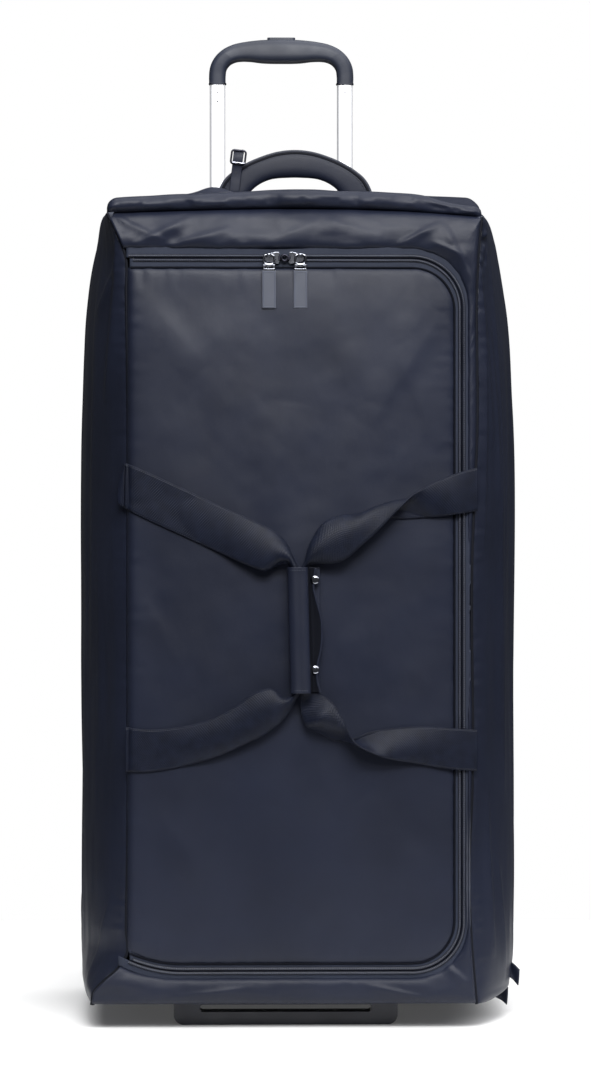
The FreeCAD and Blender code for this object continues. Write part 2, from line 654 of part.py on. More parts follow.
def release_gear():
    """Button, push rods, spring, lock blocks and pins."""
    button_low = "GripInner + 9.5"
    cap = plate("XY_Plane", rectangle("FrameShift - ButtonLength/2", "TubeY - ButtonWidth/2",
                                      "FrameShift + ButtonLength/2", "TubeY + ButtonWidth/2", "3"),
                button_low, "GripTop + ButtonProud - (%s)" % button_low)
    node("release_button", cap)
    yoke_high = button_low
    yoke = box(("FrameShift - TubeSpacing/2 - 2.5", "TubeY - 3", "%s - 2" % yoke_high),
               ("FrameShift + TubeSpacing/2 + 2.5", "TubeY + 3", yoke_high))
    rods = [cylinder("z", (tube_x(side), "TubeY", "PinZ + 16"), "%s - 1 - PinZ - 16" % yoke_high,
                     "RodRadius") for side in (-1, 1)]
    node("push_rods", fuse(yoke, *rods))
    coil_radius, wire = 3.0, 0.45
    low, high = value("GripInner + 3.2"), value("%s - 2" % yoke_high)
    rise = high - low - 2 * wire
    helix = Part.makeHelix(rise / 3.0, rise, coil_radius)
    section = Part.Wire([Part.makeCircle(wire, Vector(coil_radius, 0, 0), Vector(0, 1, 0))])
    spring = Part.Wire(helix).makePipeShell([section], True, True)
    spring.translate(Vector(value("FrameShift"), value("TubeY"), low + wire))
    node("button_spring", solid(spring))
    blocks = []
    for side in (-1, 1):
        body = tube_block(side, "-TubeWall - 0.1", "SlideFoot + 1", "PinZ + 10")
        bore = cylinder("x", ("%s - 20" % tube_x(side), "TubeY", "PinZ"), "40", "PinRadius + 0.06")
        blocks.append(cut(body, bore))
        edge = "%s + (%d)*(TubeWidth/2)" % (tube_x(side), side)
        start = edge if side < 0 else "%s - 7" % edge
        name = "lock_pin_left" if side < 0 else "lock_pin_right"
        node(name, cylinder("x", (start, "TubeY", "PinZ"), "7", "PinRadius"))
    node("lock_blocks", group(*blocks))


# ---------------------------------------------------------------- wheels and foot

def wheel_x(side):
    return "FrameShift + (%d)*WheelTrack/2" % side


def wheel(name, side):
    x, y, z = wheel_x(side), "WheelY", "WheelRadius"
    tyre = cut(bar_x((x, y, z), "WheelWidth", "WheelRadius"),
               bar_x((x, y, z), "WheelWidth + 2", "HubRadius"))
    node("tyre_" + name, tyre)
    hub = cut(bar_x((x, y, z), "WheelWidth - 2", "HubRadius"),
              bar_x((x, y, z), "WheelWidth + 2", "AxleRadius + 2"),
              bar_x(("%s - WheelWidth/2 + 1 + 3.5" % x, y, z), "7", "BearingRadius"),
              bar_x(("%s + WheelWidth/2 - 1 - 3.5" % x, y, z), "7", "BearingRadius"))
    spokes = []
    for index in range(5):
        spoke = bar_x((x, y, z), "WheelWidth + 4", "4")
        angle = index * 72
        bind(spoke, "Placement.Base.y", "WheelY + 16.5*cos(%d deg)" % angle)
        bind(spoke, "Placement.Base.z", "WheelRadius + 16.5*sin(%d deg)" % angle)
        spokes.append(spoke)
    node("hub_" + name, cut(hub, *spokes))
    bearings = [cut(bar_x(("%s + (%d)*(WheelWidth/2 - 4.5)" % (x, end), y, z), "7", "BearingRadius"),
                    bar_x(("%s + (%d)*(WheelWidth/2 - 4.5)" % (x, end), y, z), "9",
                          "AxleRadius + AxlePlay")) for end in (-1, 1)]
    node("bearings_" + name, group(*bearings))
    shell = box(("%s - HousingReach" % x, "HousingFront", "BagBottom + 2"),
                ("%s + HousingReach" % x, "BackY + 2", "HousingTop"))
    cavity = bar_x((x, y, z), "2*(HousingReach - HousingWall)", "WheelRadius + WheelPlay")
    bore = bar_x((x, y, z), "80", "AxleRadius")
    node("wheel_housing_" + name, cut(shell, cavity, bore))


def wheels():
    axles, nuts = [], []
    for name, side in (("left", -1), ("right", 1)):
        wheel(name, side)
        centre = (wheel_x(side), "WheelY", "WheelRadius")
        head = ("%s + HousingReach" % centre[0], "WheelY", "WheelRadius")
        nut = ("%s - HousingReach - 3" % centre[0], "WheelY", "WheelRadius")
        axles.append(fuse(bar_x(centre, "2*HousingReach + 6", "AxleRadius"),
                          cylinder("x", head, "3", "6.5")))
        nuts.append(cut(cylinder("x", nut, "3", "6"), bar_x(centre, "80", "AxleRadius")))
    node("wheel_axles", group(*axles))
    node("axle_nuts", group(*nuts))


def front_foot():
    left, right = "FrameShift - FootWidth/2", "FrameShift + FootWidth/2"
    outline = [(left, "0", "FootRound"), (right, "0", "FootRound"), (right, "BagBottom"),
               (left, "BagBottom")]
    block = plate("XZ_Plane", outline, "FootY + FootDepth/2", "FootDepth")
    slot = plate("XZ_Plane", rectangle("%s + FootLeg" % left, "FootSlotZ", "%s - FootLeg" % right,
                                       "FootSlotZ + FootSlotHeight", "3"),
                 "FootY + FootDepth", "FootDepth*2")
    screw_x = ["FrameShift + (%d)*(FootWidth/2 - FootLeg/2)" % side for side in (-1, 1)]
    bores = [cylinder("z", (x, "FootY", "8"), "20", "2") for x in screw_x]
    heads = [cylinder("z", (x, "FootY", "-1"), "9", "4.5") for x in screw_x]
    node("front_foot", cut(block, slot, *(bores + heads)))
    screws = [fuse(cylinder("z", (x, "FootY", "5"), "3", "4"),
                   cylinder("z", (x, "FootY", "7"), "14", "2")) for x in screw_x]
    node("foot_screws", group(*screws))


# ---------------------------------------------------------------- carry handle

def handle_arch(inset, depth):
    """The padded arch above its hinge line."""
    hinge = value("HandleHingeZ")
    outer, inner = value("HandleOuter") - inset, value("HandleInner") + inset
    top, under = value("HandleTop") - inset, value("HandleUnder") + inset
    y = value("HandleY") + depth / 2.0
    over = Part.Arc(Vector(-outer, y, hinge), Vector(0, y, top), Vector(outer, y, hinge)).toShape()
    below = Part.Arc(Vector(-inner, y, hinge), Vector(0, y, under), Vector(inner, y, hinge)).toShape()
    feet = [Part.LineSegment(Vector(side * inner, y, hinge), Vector(side * outer, y, hinge)).toShape()
            for side in (-1, 1)]
    face = Part.Face(Part.Wire(Part.__sortEdges__([over, below] + feet)))
    return face.extrude(Vector(0, -depth, 0))


def carry_handle():
    depth, skin = value("HandleDepth"), value("HandleSkin")
    core = solid(handle_arch(skin, depth - 2 * skin))
    feet = [bar_x(("(%d)*(HandleOuter + HandleInner)/2" % side, "HandleY", "HandleHingeZ"),
                  "HandleOuter - HandleInner", "HandleDepth/2") for side in (-1, 1)]
    node("carry_handle", cut(fuse(solid(handle_arch(0, depth)), *feet), core))
    node("carry_handle_core", core)
    bands = [box(("(%s)" % low, "HandleY - 13", "Shoulder"), (high, "HandleY + 13", "Crown + 9"))
             for low, high in (("-HandleOuter - 2", "-HandleInner + 2"),
                               ("HandleInner - 2", "HandleOuter + 2"))]
    patch = common(crown_shell("-PatchThick", "PatchThick"), group(*bands))
    node("handle_patches", patch)


def id_tag():
    """A short strap buckled round the left leg of the carry handle."""
    along_leg = Rotation(Vector(0, 1, 0), -68)
    centre = Vector(-44, value("HandleY"), 775)
    half, skin, across, deep = 5.5, 1.6, 20.5, 8.2
    outer = Part.makeBox(2 * half, 2 * (deep + skin), 2 * (across + skin),
                         Vector(-half, -deep - skin, -across - skin))
    inner = Part.makeBox(4 * half, 2 * deep, 2 * across, Vector(-2 * half, -deep, -across))
    tail = Part.makeBox(2 * half, skin, 24, Vector(-half, -deep - 2 * skin, -6))
    rim = Part.makeBox(15, skin, 14, Vector(-7.5, -deep - 3 * skin - 0.1, 5))
    window = Part.makeBox(2 * half, 9, 10, Vector(-half, -deep - 4 * skin, 7))
    prong = Part.makeBox(1.6, skin, 12, Vector(-0.8, -deep - 3 * skin - 0.1, 6))
    for label, shape in (("id_strap", outer.cut(inner).fuse(tail)),
                         ("id_buckle", rim.cut(window).fuse(prong))):
        item = solid(shape)
        item.Placement = Placement(centre, along_leg)
        node(label, item)


def write_parts():
    doc.recompute()
    for item in doc.Objects:
        if "Invalid" in item.State or "Error" in item.State:
            raise RuntimeError("%s (%s) did not compute" % (item.Name, item.Label))
    for label, item in nodes.items():
        if item.Shape.isNull() or not item.Shape.isValid() or not item.Shape.Solids:
            raise RuntimeError("%s has no valid shape" % label)
    os.makedirs("parts", exist_ok=True)
    for label, item in nodes.items():
        item.Shape.exportStep("parts/%s.step" % label)
        print("%-22s %2d solids %10.1f mm3" % (label, len(item.Shape.Solids), item.Shape.Volume))


fill_sheet()
bag_sides()
bag_panels()
front_panels()
zipper()
sliders_and_pulls()
straps_and_wrap()
sliding_and_fixed_tubes()
tube_mounts()
trolley_grip()
release_gear()
wheels()
front_foot()
carry_handle()
id_tag()
write_parts()
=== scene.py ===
"""Looks of the rolling duffel bag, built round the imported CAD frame.

Shapes are worked out in millimetres and turned into metres when their mesh is made.
X is to the right, the door faces -Y and Z is up, as in the CAD.
"""
import math

import bpy
import numpy as np
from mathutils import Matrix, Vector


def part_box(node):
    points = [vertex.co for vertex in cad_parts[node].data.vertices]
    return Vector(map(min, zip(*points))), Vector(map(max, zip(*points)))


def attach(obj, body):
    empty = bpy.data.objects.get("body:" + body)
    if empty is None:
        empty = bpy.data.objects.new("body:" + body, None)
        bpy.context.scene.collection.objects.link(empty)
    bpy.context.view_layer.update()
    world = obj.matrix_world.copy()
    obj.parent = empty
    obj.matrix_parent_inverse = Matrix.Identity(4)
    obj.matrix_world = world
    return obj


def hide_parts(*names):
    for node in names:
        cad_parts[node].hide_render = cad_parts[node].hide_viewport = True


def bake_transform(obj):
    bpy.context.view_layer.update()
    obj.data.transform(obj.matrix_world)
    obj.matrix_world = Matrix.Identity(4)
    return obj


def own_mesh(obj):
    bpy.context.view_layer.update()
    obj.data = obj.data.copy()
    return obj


MM = 0.001

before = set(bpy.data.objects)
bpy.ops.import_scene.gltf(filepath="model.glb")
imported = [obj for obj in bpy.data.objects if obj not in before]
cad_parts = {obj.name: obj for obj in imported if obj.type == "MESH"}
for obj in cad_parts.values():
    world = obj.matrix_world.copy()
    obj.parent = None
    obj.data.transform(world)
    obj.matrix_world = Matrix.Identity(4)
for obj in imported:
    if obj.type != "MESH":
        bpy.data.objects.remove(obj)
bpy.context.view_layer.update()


def span(node):
    """Lowest and highest corner of a CAD node in millimetres."""
    low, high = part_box(node)
    return np.array(low) / MM, np.array(high) / MM


DOOR_LOW, DOOR_HIGH = span("door_panel")
CHAIN_OFFSET = 5.0
ZIP_TOP = DOOR_HIGH[2] + CHAIN_OFFSET
ZIP_BOTTOM = DOOR_LOW[2] - CHAIN_OFFSET
ZIP_RIGHT = DOOR_HIGH[0] + CHAIN_OFFSET
ZIP_RADIUS = 45.0
SEAM = 155.0
FRONT = DOOR_LOW[1]
FACE = FRONT - 2.6
SEAM_Y = FRONT + 3.5
BACK = span("back_panel")[1][1]
BAG_FOOT = span("bottom_panel")[0][2]


# ------------------------------------------------------------------ numbers

NOISE_TABLE = np.random.default_rng(11).uniform(-1.0, 1.0, (64, 64))


def noise(u, v, seed=0):
    """Smooth value noise between -1 and 1."""
    u = np.asarray(u, float) + seed * 17.31
    v = np.asarray(v, float) + seed * 9.73
    iu = np.floor(u).astype(int)
    iv = np.floor(v).astype(int)
    fu = u - iu
    fv = v - iv
    su = fu * fu * fu * (fu * (fu * 6 - 15) + 10)
    sv = fv * fv * fv * (fv * (fv * 6 - 15) + 10)
    corners = [[NOISE_TABLE[(iu + a) % 64, (iv + b) % 64] for b in (0, 1)] for a in (0, 1)]
    low = corners[0][0] * (1 - su) + corners[1][0] * su
    high = corners[0][1] * (1 - su) + corners[1][1] * su
    return low * (1 - sv) + high * sv


def smooth(low, high, at):
    """0 below `low`, 1 above `high`, and an S curve between."""
    t = np.clip((np.asarray(at, float) - low) / (high - low), 0.0, 1.0)
    return t * t * (3 - 2 * t)


def spread(start, end, count, dense=0.6):
    """Places from start to end that stand closer together near both ends."""
    t = np.linspace(0.0, 1.0, count)
    return start + (end - start) * ((1 - dense) * t + dense * (1 - np.cos(np.pi * t)) / 2)


def hermite(places, values, at):
    """Smooth curve through values (n, k) at increasing places (n)."""
    places = np.asarray(places, float)
    values = np.asarray(values, float).reshape(len(places), -1)
    slopes = np.gradient(values, places, axis=0)
    at = np.clip(np.asarray(at, float), places[0], places[-1])
    index = np.clip(np.searchsorted(places, at, side="right") - 1, 0, len(places) - 2)
    gap = (places[index + 1] - places[index])[..., None]
    s = (at - places[index])[..., None] / gap
    return ((1 + 2 * s) * (1 - s) ** 2 * values[index] + s * (1 - s) ** 2 * gap * slopes[index]
            + s * s * (3 - 2 * s) * values[index + 1] + s * s * (s - 1) * gap * slopes[index + 1])


def profile(places, values, at):
    return hermite(places, values, at)[..., 0]


def through(stations, at):
    """Smooth curve through stations at fractions of its length."""
    stations = np.asarray(stations, float)
    steps = np.linalg.norm(np.diff(stations[:, :3], axis=0), axis=1)
    places = np.concatenate([[0.0], np.cumsum(steps)]) / steps.sum()
    return hermite(places, stations, at)


def folds(across, up, lines):
    """Height of soft creases, each (start, end, width, height), steeper on one side."""
    total = np.zeros(np.broadcast(across, up).shape)
    for (x0, z0), (x1, z1), width, height in lines:
        length = math.hypot(x1 - x0, z1 - z0)
        along = ((across - x0) * (x1 - x0) + (up - z0) * (z1 - z0)) / length ** 2
        away = ((across - x0) * (z1 - z0) - (up - z0) * (x1 - x0)) / length
        reach = np.where(away > 0, width, 0.45 * width)
        taper = np.sin(np.pi * np.clip(along, 0.0, 1.0)) ** 0.7
        total += height * np.exp(-(away / reach) ** 2) * taper
    return total


# ------------------------------------------------------------------ meshes

def lay(name, vertices, faces, materials, uvs=None, smooth_faces=True):
    """A mesh object from vertices in millimetres."""
    mesh = bpy.data.meshes.new(name)
    mesh.from_pydata((np.asarray(vertices, float) * MM).tolist(), [], faces)
    for item in materials:
        mesh.materials.append(item)
    if uvs is not None:
        layer = mesh.uv_layers.new(name="UVMap")
        loops = np.zeros(len(mesh.loops), np.int32)
        mesh.loops.foreach_get("vertex_index", loops)
        layer.data.foreach_set("uv", (np.asarray(uvs) * MM)[loops].ravel())
    mesh.polygons.foreach_set("use_smooth", [smooth_faces] * len(mesh.polygons))
    mesh.update()
    item = bpy.data.objects.new(name, mesh)
    bpy.context.scene.collection.objects.link(item)
    return item


def grid(name, points, materials, flip=False, ring=False, keep=None):
    """A quad sheet through rows x columns of points; its front is columns x rows."""
    rows, columns = points.shape[:2]
    numbers = np.arange(rows * columns).reshape(rows, columns)
    if ring:
        numbers = np.concatenate([numbers, numbers[:, :1]], axis=1)
    quads = np.stack([numbers[:-1, :-1], numbers[:-1, 1:], numbers[1:, 1:], numbers[1:, :-1]], -1)
    if keep is not None:
        quads = quads[keep[:-1, :-1] & keep[1:, 1:] & keep[:-1, 1:] & keep[1:, :-1]]
    quads = quads.reshape(-1, 4)
    if flip:
        quads = quads[:, ::-1]
    across = np.zeros((rows, columns))
    across[:, 1:] = np.cumsum(np.linalg.norm(np.diff(points, axis=1), axis=2), axis=1)
    up = np.zeros((rows, columns))
    up[1:] = np.cumsum(np.linalg.norm(np.diff(points, axis=0), axis=2), axis=0)
    uvs = np.stack([across, up], -1).reshape(-1, 2)
    return lay(name, points.reshape(-1, 3), quads.tolist(), materials, uvs)


def outward(points):
    """Unit normals of a sheet, on the side that grid() shows."""
    normal = np.cross(np.gradient(points, axis=1), np.gradient(points, axis=0))
    return normal / np.maximum(np.linalg.norm(normal, axis=2, keepdims=True), 1e-9)


def thicken(item, thickness, inner=True, offset=-1.0):
    """Give a sheet its thickness, with its second material on the inside."""
    made = item.modifiers.new("Thickness", "SOLIDIFY")
    made.thickness = thickness * MM
    made.offset = offset
    if inner:
        made.material_offset = 1
    return item


def sweep(name, path, section, materials, facing=(0, 1, 0), scale=None, closed=False):
    """A section (a, b) carried along a path; a lies along `facing`, b across it."""
    path = np.asarray(path, float)
    section = np.asarray(section, float)
    if closed:
        tangent = np.roll(path, -1, axis=0) - np.roll(path, 1, axis=0)
    else:
        tangent = np.gradient(path, axis=0)
    tangent /= np.linalg.norm(tangent, axis=1, keepdims=True)
    facing = np.broadcast_to(np.asarray(facing, float), path.shape)
    first = facing - (facing * tangent).sum(1, keepdims=True) * tangent
    first /= np.linalg.norm(first, axis=1, keepdims=True)
    second = np.cross(tangent, first)
    scale = np.ones((len(path), 2)) if scale is None else np.asarray(scale, float)
    points = (path[:, None] + first[:, None] * (section[None, :, :1] * scale[:, None, :1])
              + second[:, None] * (section[None, :, 1:] * scale[:, None, 1:]))
    if closed:
        points = np.concatenate([points, points[:1]])
    count = len(section)
    item = grid(name, points, materials, ring=True, flip=True)
    return item if closed else add_caps(item, len(points), count)


def add_caps(item, rows, count):
    """Close both ends of a swept tube."""
    mesh = item.data
    vertices = np.zeros(len(mesh.vertices) * 3)
    mesh.vertices.foreach_get("co", vertices)
    vertices = vertices.reshape(-1, 3)
    faces = [list(face.vertices) for face in mesh.polygons]
    layer = mesh.uv_layers.active.data
    uvs = np.zeros((len(vertices), 2))
    for loop in mesh.loops:
        uvs[loop.vertex_index] = layer[loop.index].uv
    faces.append(list(range(count)))
    faces.append(list(range((rows - 1) * count, rows * count))[::-1])
    name, materials = item.name, list(mesh.materials)
    bpy.data.objects.remove(item)
    bpy.data.meshes.remove(mesh)
    made = lay(name, vertices / MM, faces, materials, uvs / MM)
    made.name = name
    return made


def rounded(width, height, radius, steps=4):
    """Outline of a rounded rectangle about its middle, anticlockwise."""
    points = []
    for turn, (sx, sy) in enumerate(((1, 1), (-1, 1), (-1, -1), (1, -1))):
        for step in range(steps + 1):
            angle = math.pi / 2 * (turn + step / steps)
            points.append((sx * (width / 2 - radius) + radius * math.cos(angle),
                           sy * (height / 2 - radius) + radius * math.sin(angle)))
    return np.array(points)


def mirrored(points, middle=0.0):
    """A whole arch from its right half, which runs from the foot to the crown."""
    return [(middle - a, b) for a, b in points] + [(middle + a, b) for a, b in points[-2::-1]]


def halfway(loop):
    """A closed loop with a point added in the middle of each side."""
    loop = np.asarray(loop, float)
    return np.stack([loop, loop + (np.roll(loop, -1, axis=0) - loop) * 0.5], 1).reshape(-1, 3)


def circle(radius, count=12):
    angles = np.arange(count) * 2 * math.pi / count
    return np.stack([np.cos(angles), np.sin(angles)], 1) * radius


def lathe(name, outline, centre, axis, materials, count=32):
    """A turned piece: outline pairs (distance along the axis, radius)."""
    outline = np.asarray(outline, float)
    angles = np.arange(count) * 2 * math.pi / count
    order = {"x": (0, 1, 2), "y": (1, 2, 0), "z": (2, 0, 1)}[axis]
    points = np.zeros((len(outline), count, 3))
    points[:, :, order[0]] = outline[:, :1]
    points[:, :, order[1]] = outline[:, 1:] * np.cos(angles)
    points[:, :, order[2]] = outline[:, 1:] * np.sin(angles)
    return grid(name, points + np.asarray(centre, float), materials, ring=True, flip=True)


def slab(name, outline, back, front, materials, bevel=0.4):
    """A plate along Y from an (x, z) outline, with bevelled edges."""
    outline = np.asarray(outline, float)
    count = len(outline)
    vertices = [(x, y, z) for y in (front, back) for x, z in outline]
    faces = [list(range(count)), list(range(2 * count - 1, count - 1, -1))]
    faces += [[i, i + count, (i + 1) % count + count, (i + 1) % count] for i in range(count)]
    item = lay(name, vertices, faces, materials)
    soften(item, bevel)
    return item


def soften(item, width, segments=2):
    """Rounded edges, as on a moulded or tumbled part."""
    bevel = item.modifiers.new("Edges", "BEVEL")
    bevel.width = width * MM
    bevel.segments = segments
    bevel.limit_method = "ANGLE"
    bevel.angle_limit = math.radians(35)
    bevel.harden_normals = True
    return item


def joined(name, items):
    """Several pieces as one object, modifiers applied."""
    graph = bpy.context.evaluated_depsgraph_get()
    for item in items:
        flat = bpy.data.meshes.new_from_object(item.evaluated_get(graph))
        item.modifiers.clear()
        item.data = flat
    with bpy.context.temp_override(active_object=items[0], selected_editable_objects=items,
                                   selected_objects=items):
        bpy.ops.object.join()
    items[0].name = name
    items[0].data.name = name
    return items[0]


STITCH = np.array([(a, b, c) for a in (-1, 1) for b in (-1, 1) for c in (-1, 1)], float)
STITCH_FACES = [(0, 1, 3, 2), (4, 6, 7, 5), (0, 4, 5, 1), (2, 3, 7, 6), (0, 2, 6, 4), (1, 5, 7, 3)]


def stitches(name, path, pitch, length, width, materials, normal=(0, -1, 0)):
    """A row of short thread stitches that lie along a path."""
    path = np.asarray(path, float)
    steps = np.linalg.norm(np.diff(path, axis=0), axis=1)
    total = steps.sum()
    places = np.arange(pitch / 2, total, pitch)
    run = np.concatenate([[0.0], np.cumsum(steps)])
    middle = np.stack([np.interp(places, run, path[:, k]) for k in range(3)], 1)
    ahead = np.stack([np.interp(places + 0.2, run, path[:, k]) for k in range(3)], 1) - middle
    behind = middle - np.stack([np.interp(places - 0.2, run, path[:, k]) for k in range(3)], 1)
    tangent = ahead + behind
    tangent /= np.maximum(np.linalg.norm(tangent, axis=1, keepdims=True), 1e-9)
    normal = np.broadcast_to(np.asarray(normal, float), tangent.shape)
    side = np.cross(tangent, normal)
    taper = np.where(STITCH[:, 2:] > 0, 0.6, 1.0)
    blocks = (middle[:, None] + tangent[:, None] * STITCH[None, :, :1] * taper * length / 2
              + side[:, None] * STITCH[None, :, 1:2] * taper * width / 2
              + normal[:, None] * STITCH[None, :, 2:] * width * 0.4)
    faces = [[k * 8 + n for n in face] for k in range(len(places)) for face in STITCH_FACES]
    return lay(name, blocks.reshape(-1, 3), faces, materials)


# ------------------------------------------------------------------ materials

class Surface:
    """A Principled material and short ways to add its texture nodes."""

    def __init__(self, name, colour, roughness, **sockets):
        self.item = bpy.data.materials.new(name)
        self.item.use_nodes = True
        self.tree = self.item.node_tree
        self.shader = self.tree.nodes["Principled BSDF"]
        self.shader.inputs["Base Color"].default_value = (*colour, 1.0)
        self.shader.inputs["Roughness"].default_value = roughness
        for key, number in sockets.items():
            self.shader.inputs[key.replace("_", " ")].default_value = number
        self.colour = colour

    def node(self, kind, **values):
        made = self.tree.nodes.new(kind)
        for key, number in values.items():
            if hasattr(made, key):
                setattr(made, key, number)
            else:
                made.inputs[key.replace("_", " ")].default_value = number
        return made

    def link(self, start, end):
        self.tree.links.new(start, end)

    def place(self, source, scale=(1, 1, 1), turn=0.0):
        """Texture coordinates, scaled and turned about Z."""
        coordinates = self.node("ShaderNodeTexCoord")
        mapping = self.node("ShaderNodeMapping")
        mapping.inputs["Scale"].default_value = scale
        mapping.inputs["Rotation"].default_value = (0, 0, turn)
        self.link(coordinates.outputs[source], mapping.inputs["Vector"])
        return mapping.outputs["Vector"]

    def noise(self, source, scale, detail=3.0, roughness=0.55, stretch=(1, 1, 1)):
        made = self.node("ShaderNodeTexNoise", Scale=scale, Detail=detail, Roughness=roughness)
        self.link(self.place(source, stretch), made.inputs["Vector"])
        return made.outputs["Fac"]

    def ribs(self, source, pitch, turn=0.0):
        """A wave with one rib every `pitch` metres along the turned X."""
        made = self.node("ShaderNodeTexWave", Scale=0.314 / pitch)
        made.wave_profile = "SIN"
        self.link(self.place(source, (1, 1, 1), turn), made.inputs["Vector"])
        return made.outputs["Fac"]

    def maths(self, operation, first, second):
        made = self.node("ShaderNodeMath", operation=operation)
        for socket, number in zip(made.inputs, (first, second)):
            if isinstance(number, (int, float)):
                socket.default_value = number
            else:
                self.link(number, socket)
        return made.outputs[0]

    def shade(self, factor, dark, light, low=0.35, high=0.65):
        """Base colour that drifts between two tones."""
        ramp = self.node("ShaderNodeMapRange")
        ramp.inputs["From Min"].default_value = low
        ramp.inputs["From Max"].default_value = high
        self.link(factor, ramp.inputs["Value"])
        mix = self.node("ShaderNodeMix", data_type="RGBA")
        colours = [socket for socket in mix.inputs if socket.type == "RGBA"]
        colours[0].default_value = (*dark, 1.0)
        colours[1].default_value = (*light, 1.0)
        self.link(ramp.outputs["Result"], mix.inputs[0])
        self.link([s for s in mix.outputs if s.type == "RGBA"][0], self.shader.inputs["Base Color"])

    def gloss(self, factor, low, high):
        """Roughness that drifts between two numbers."""
        ramp = self.node("ShaderNodeMapRange")
        ramp.inputs["From Min"].default_value = 0.3
        ramp.inputs["From Max"].default_value = 0.7
        ramp.inputs["To Min"].default_value = low
        ramp.inputs["To Max"].default_value = high
        self.link(factor, ramp.inputs["Value"])
        self.link(ramp.outputs["Result"], self.shader.inputs["Roughness"])

    def relief(self, height, distance, strength=1.0):
        """Bump of a height in metres, stacked on any bump that is there."""
        made = self.node("ShaderNodeBump", Strength=strength, Distance=distance)
        self.link(height, made.inputs["Height"])
        normal = self.shader.inputs["Normal"]
        if normal.is_linked:
            self.link(normal.links[0].from_socket, made.inputs["Normal"])
        self.link(made.outputs["Normal"], normal)
        return self


def srgb(red, green, blue):
    """Linear colour from 8-bit display values."""
    return tuple(((c / 255 + 0.055) / 1.055) ** 2.4 if c > 10 else c / 255 / 12.92
                 for c in (red, green, blue))


def lighter(colour, share):
    return tuple(c * share for c in colour)


NAVY = srgb(25, 29, 43)


def cloth(name, colour, roughness, pitch, source="UV", depth=0.00005, crinkle=0.0, **sockets):
    """Plain-woven fabric: warp and weft, tonal drift, fine slubs and soft crinkles."""
    made = Surface(name, colour, roughness, **sockets)
    warp = made.ribs(source, pitch)
    weft = made.ribs(source, pitch, math.pi / 2)
    if crinkle:
        made.relief(made.noise("Object", 34, 4, 0.6, (1, 1, 0.55)), crinkle)
    made.relief(made.noise("Object", 420, 2), 0.00006, 0.5)
    made.relief(made.maths("MULTIPLY", warp, weft), depth, 0.8)
    made.shade(made.noise("Object", 9, 5), lighter(colour, 0.86), lighter(colour, 1.14))
    made.gloss(made.noise("Object", 15, 4), roughness - 0.04, roughness + 0.05)
    return made.item


def metal(name, colour, roughness, brushed=False, metallic=1.0):
    made = Surface(name, colour, roughness, Metallic=metallic)
    stretch = (1, 1, 0.02) if brushed else (1, 1, 1)
    made.relief(made.noise("Object", 900 if brushed else 260, 3, 0.6, stretch), 0.00002, 0.6)
    made.gloss(made.noise("Object", 60, 4, 0.6, stretch), roughness * 0.8, roughness * 1.25)
    return made.item


def plastic(name, colour, roughness, grain=0.00003, scale=900):
    made = Surface(name, colour, roughness)
    made.relief(made.noise("Object", scale, 2), grain)
    made.relief(made.noise("Object", 60, 3), 0.00008, 0.4)
    made.shade(made.noise("Object", 25, 4), lighter(colour, 0.88), lighter(colour, 1.12))
    made.gloss(made.noise("Object", 40, 4), roughness - 0.05, roughness + 0.07)
    return made.item


SHELL = cloth("coated_nylon", NAVY, 0.42, 0.00055, crinkle=0.00026, Specular_IOR_Level=0.22)
LINING = cloth("lining", srgb(66, 70, 82), 0.7, 0.0007, crinkle=0.0006, Sheen_Weight=0.2)
TAPE = cloth("zip_tape", srgb(38, 43, 57), 0.6, 0.0011, depth=0.00022, Specular_IOR_Level=0.2)
BINDING = cloth("binding", srgb(34, 38, 52), 0.6, 0.0008, depth=0.0001)
COIL = plastic("zip_coil", srgb(21, 24, 36), 0.38, 0.00001)
WRAP = cloth("wrap_fabric", srgb(25, 29, 43), 0.42, 0.0005, crinkle=0.0001, Specular_IOR_Level=0.24)
# Near-black: dark piping on the carry handle, and painted shade where it lies in the side seam grooves.
SEAM_CORD = cloth("seam_cord", srgb(12, 14, 22), 0.7, 0.0006, Specular_IOR_Level=0.15)
# Near-black painted shade, not a fabric of the bag: it stands in for the shadow behind the grip flap and in
# the groove at the door's edge.
SHADE = cloth("painted_shade", srgb(9, 11, 19), 0.8, 0.0005, Specular_IOR_Level=0.1)
THREAD = plastic("thread", srgb(66, 71, 86), 0.5, 0.00004)
DARK_THREAD = plastic("dark_thread", srgb(24, 27, 38), 0.6, 0.00004)
NICKEL = metal("nickel", srgb(146, 148, 157), 0.15)
DARK_NICKEL = metal("dark_nickel", srgb(44, 44, 52), 0.3)
STEEL = metal("steel", srgb(190, 190, 194), 0.3)
ALUMINIUM = metal("tube_aluminium", srgb(240, 241, 244), 0.34, True, 0.35)
RUBBER = plastic("pull_rubber", srgb(58, 62, 74), 0.45, 0.00002)
GRIP = plastic("grip_plastic", srgb(35, 40, 54), 0.5, 0.00004, 1400)
MOULDED = plastic("moulded_plastic", srgb(11, 15, 30), 0.42, 0.00005)
ROD = plastic("rod_plastic", srgb(60, 62, 66), 0.45)
TYRE = plastic("tyre_rubber", srgb(26, 27, 30), 0.72, 0.00006, 600)
BOARD = cloth("covered_board", srgb(50, 54, 66), 0.75, 0.0009, "Object", crinkle=0.0002)


def webbing():
    """Ribbed webbing: crossed twill, weft picks across and a colour drift between two shades."""
    colour = srgb(18, 22, 35)
    made = Surface("webbing", colour, 0.42, Specular_IOR_Level=0.15)
    twill = made.ribs("UV", 0.0016, math.radians(38))
    back_twill = made.ribs("UV", 0.0016, math.radians(-38))
    made.relief(made.maths("MULTIPLY", twill, back_twill), 0.00022, 0.9)
    made.relief(made.ribs("UV", 0.0007), 0.00008, 0.6)
    made.shade(made.noise("Object", 120, 4), lighter(colour, 0.8), lighter(colour, 1.2))
    return made.item


WEBBING = webbing()


# ------------------------------------------------------------------ bag outline

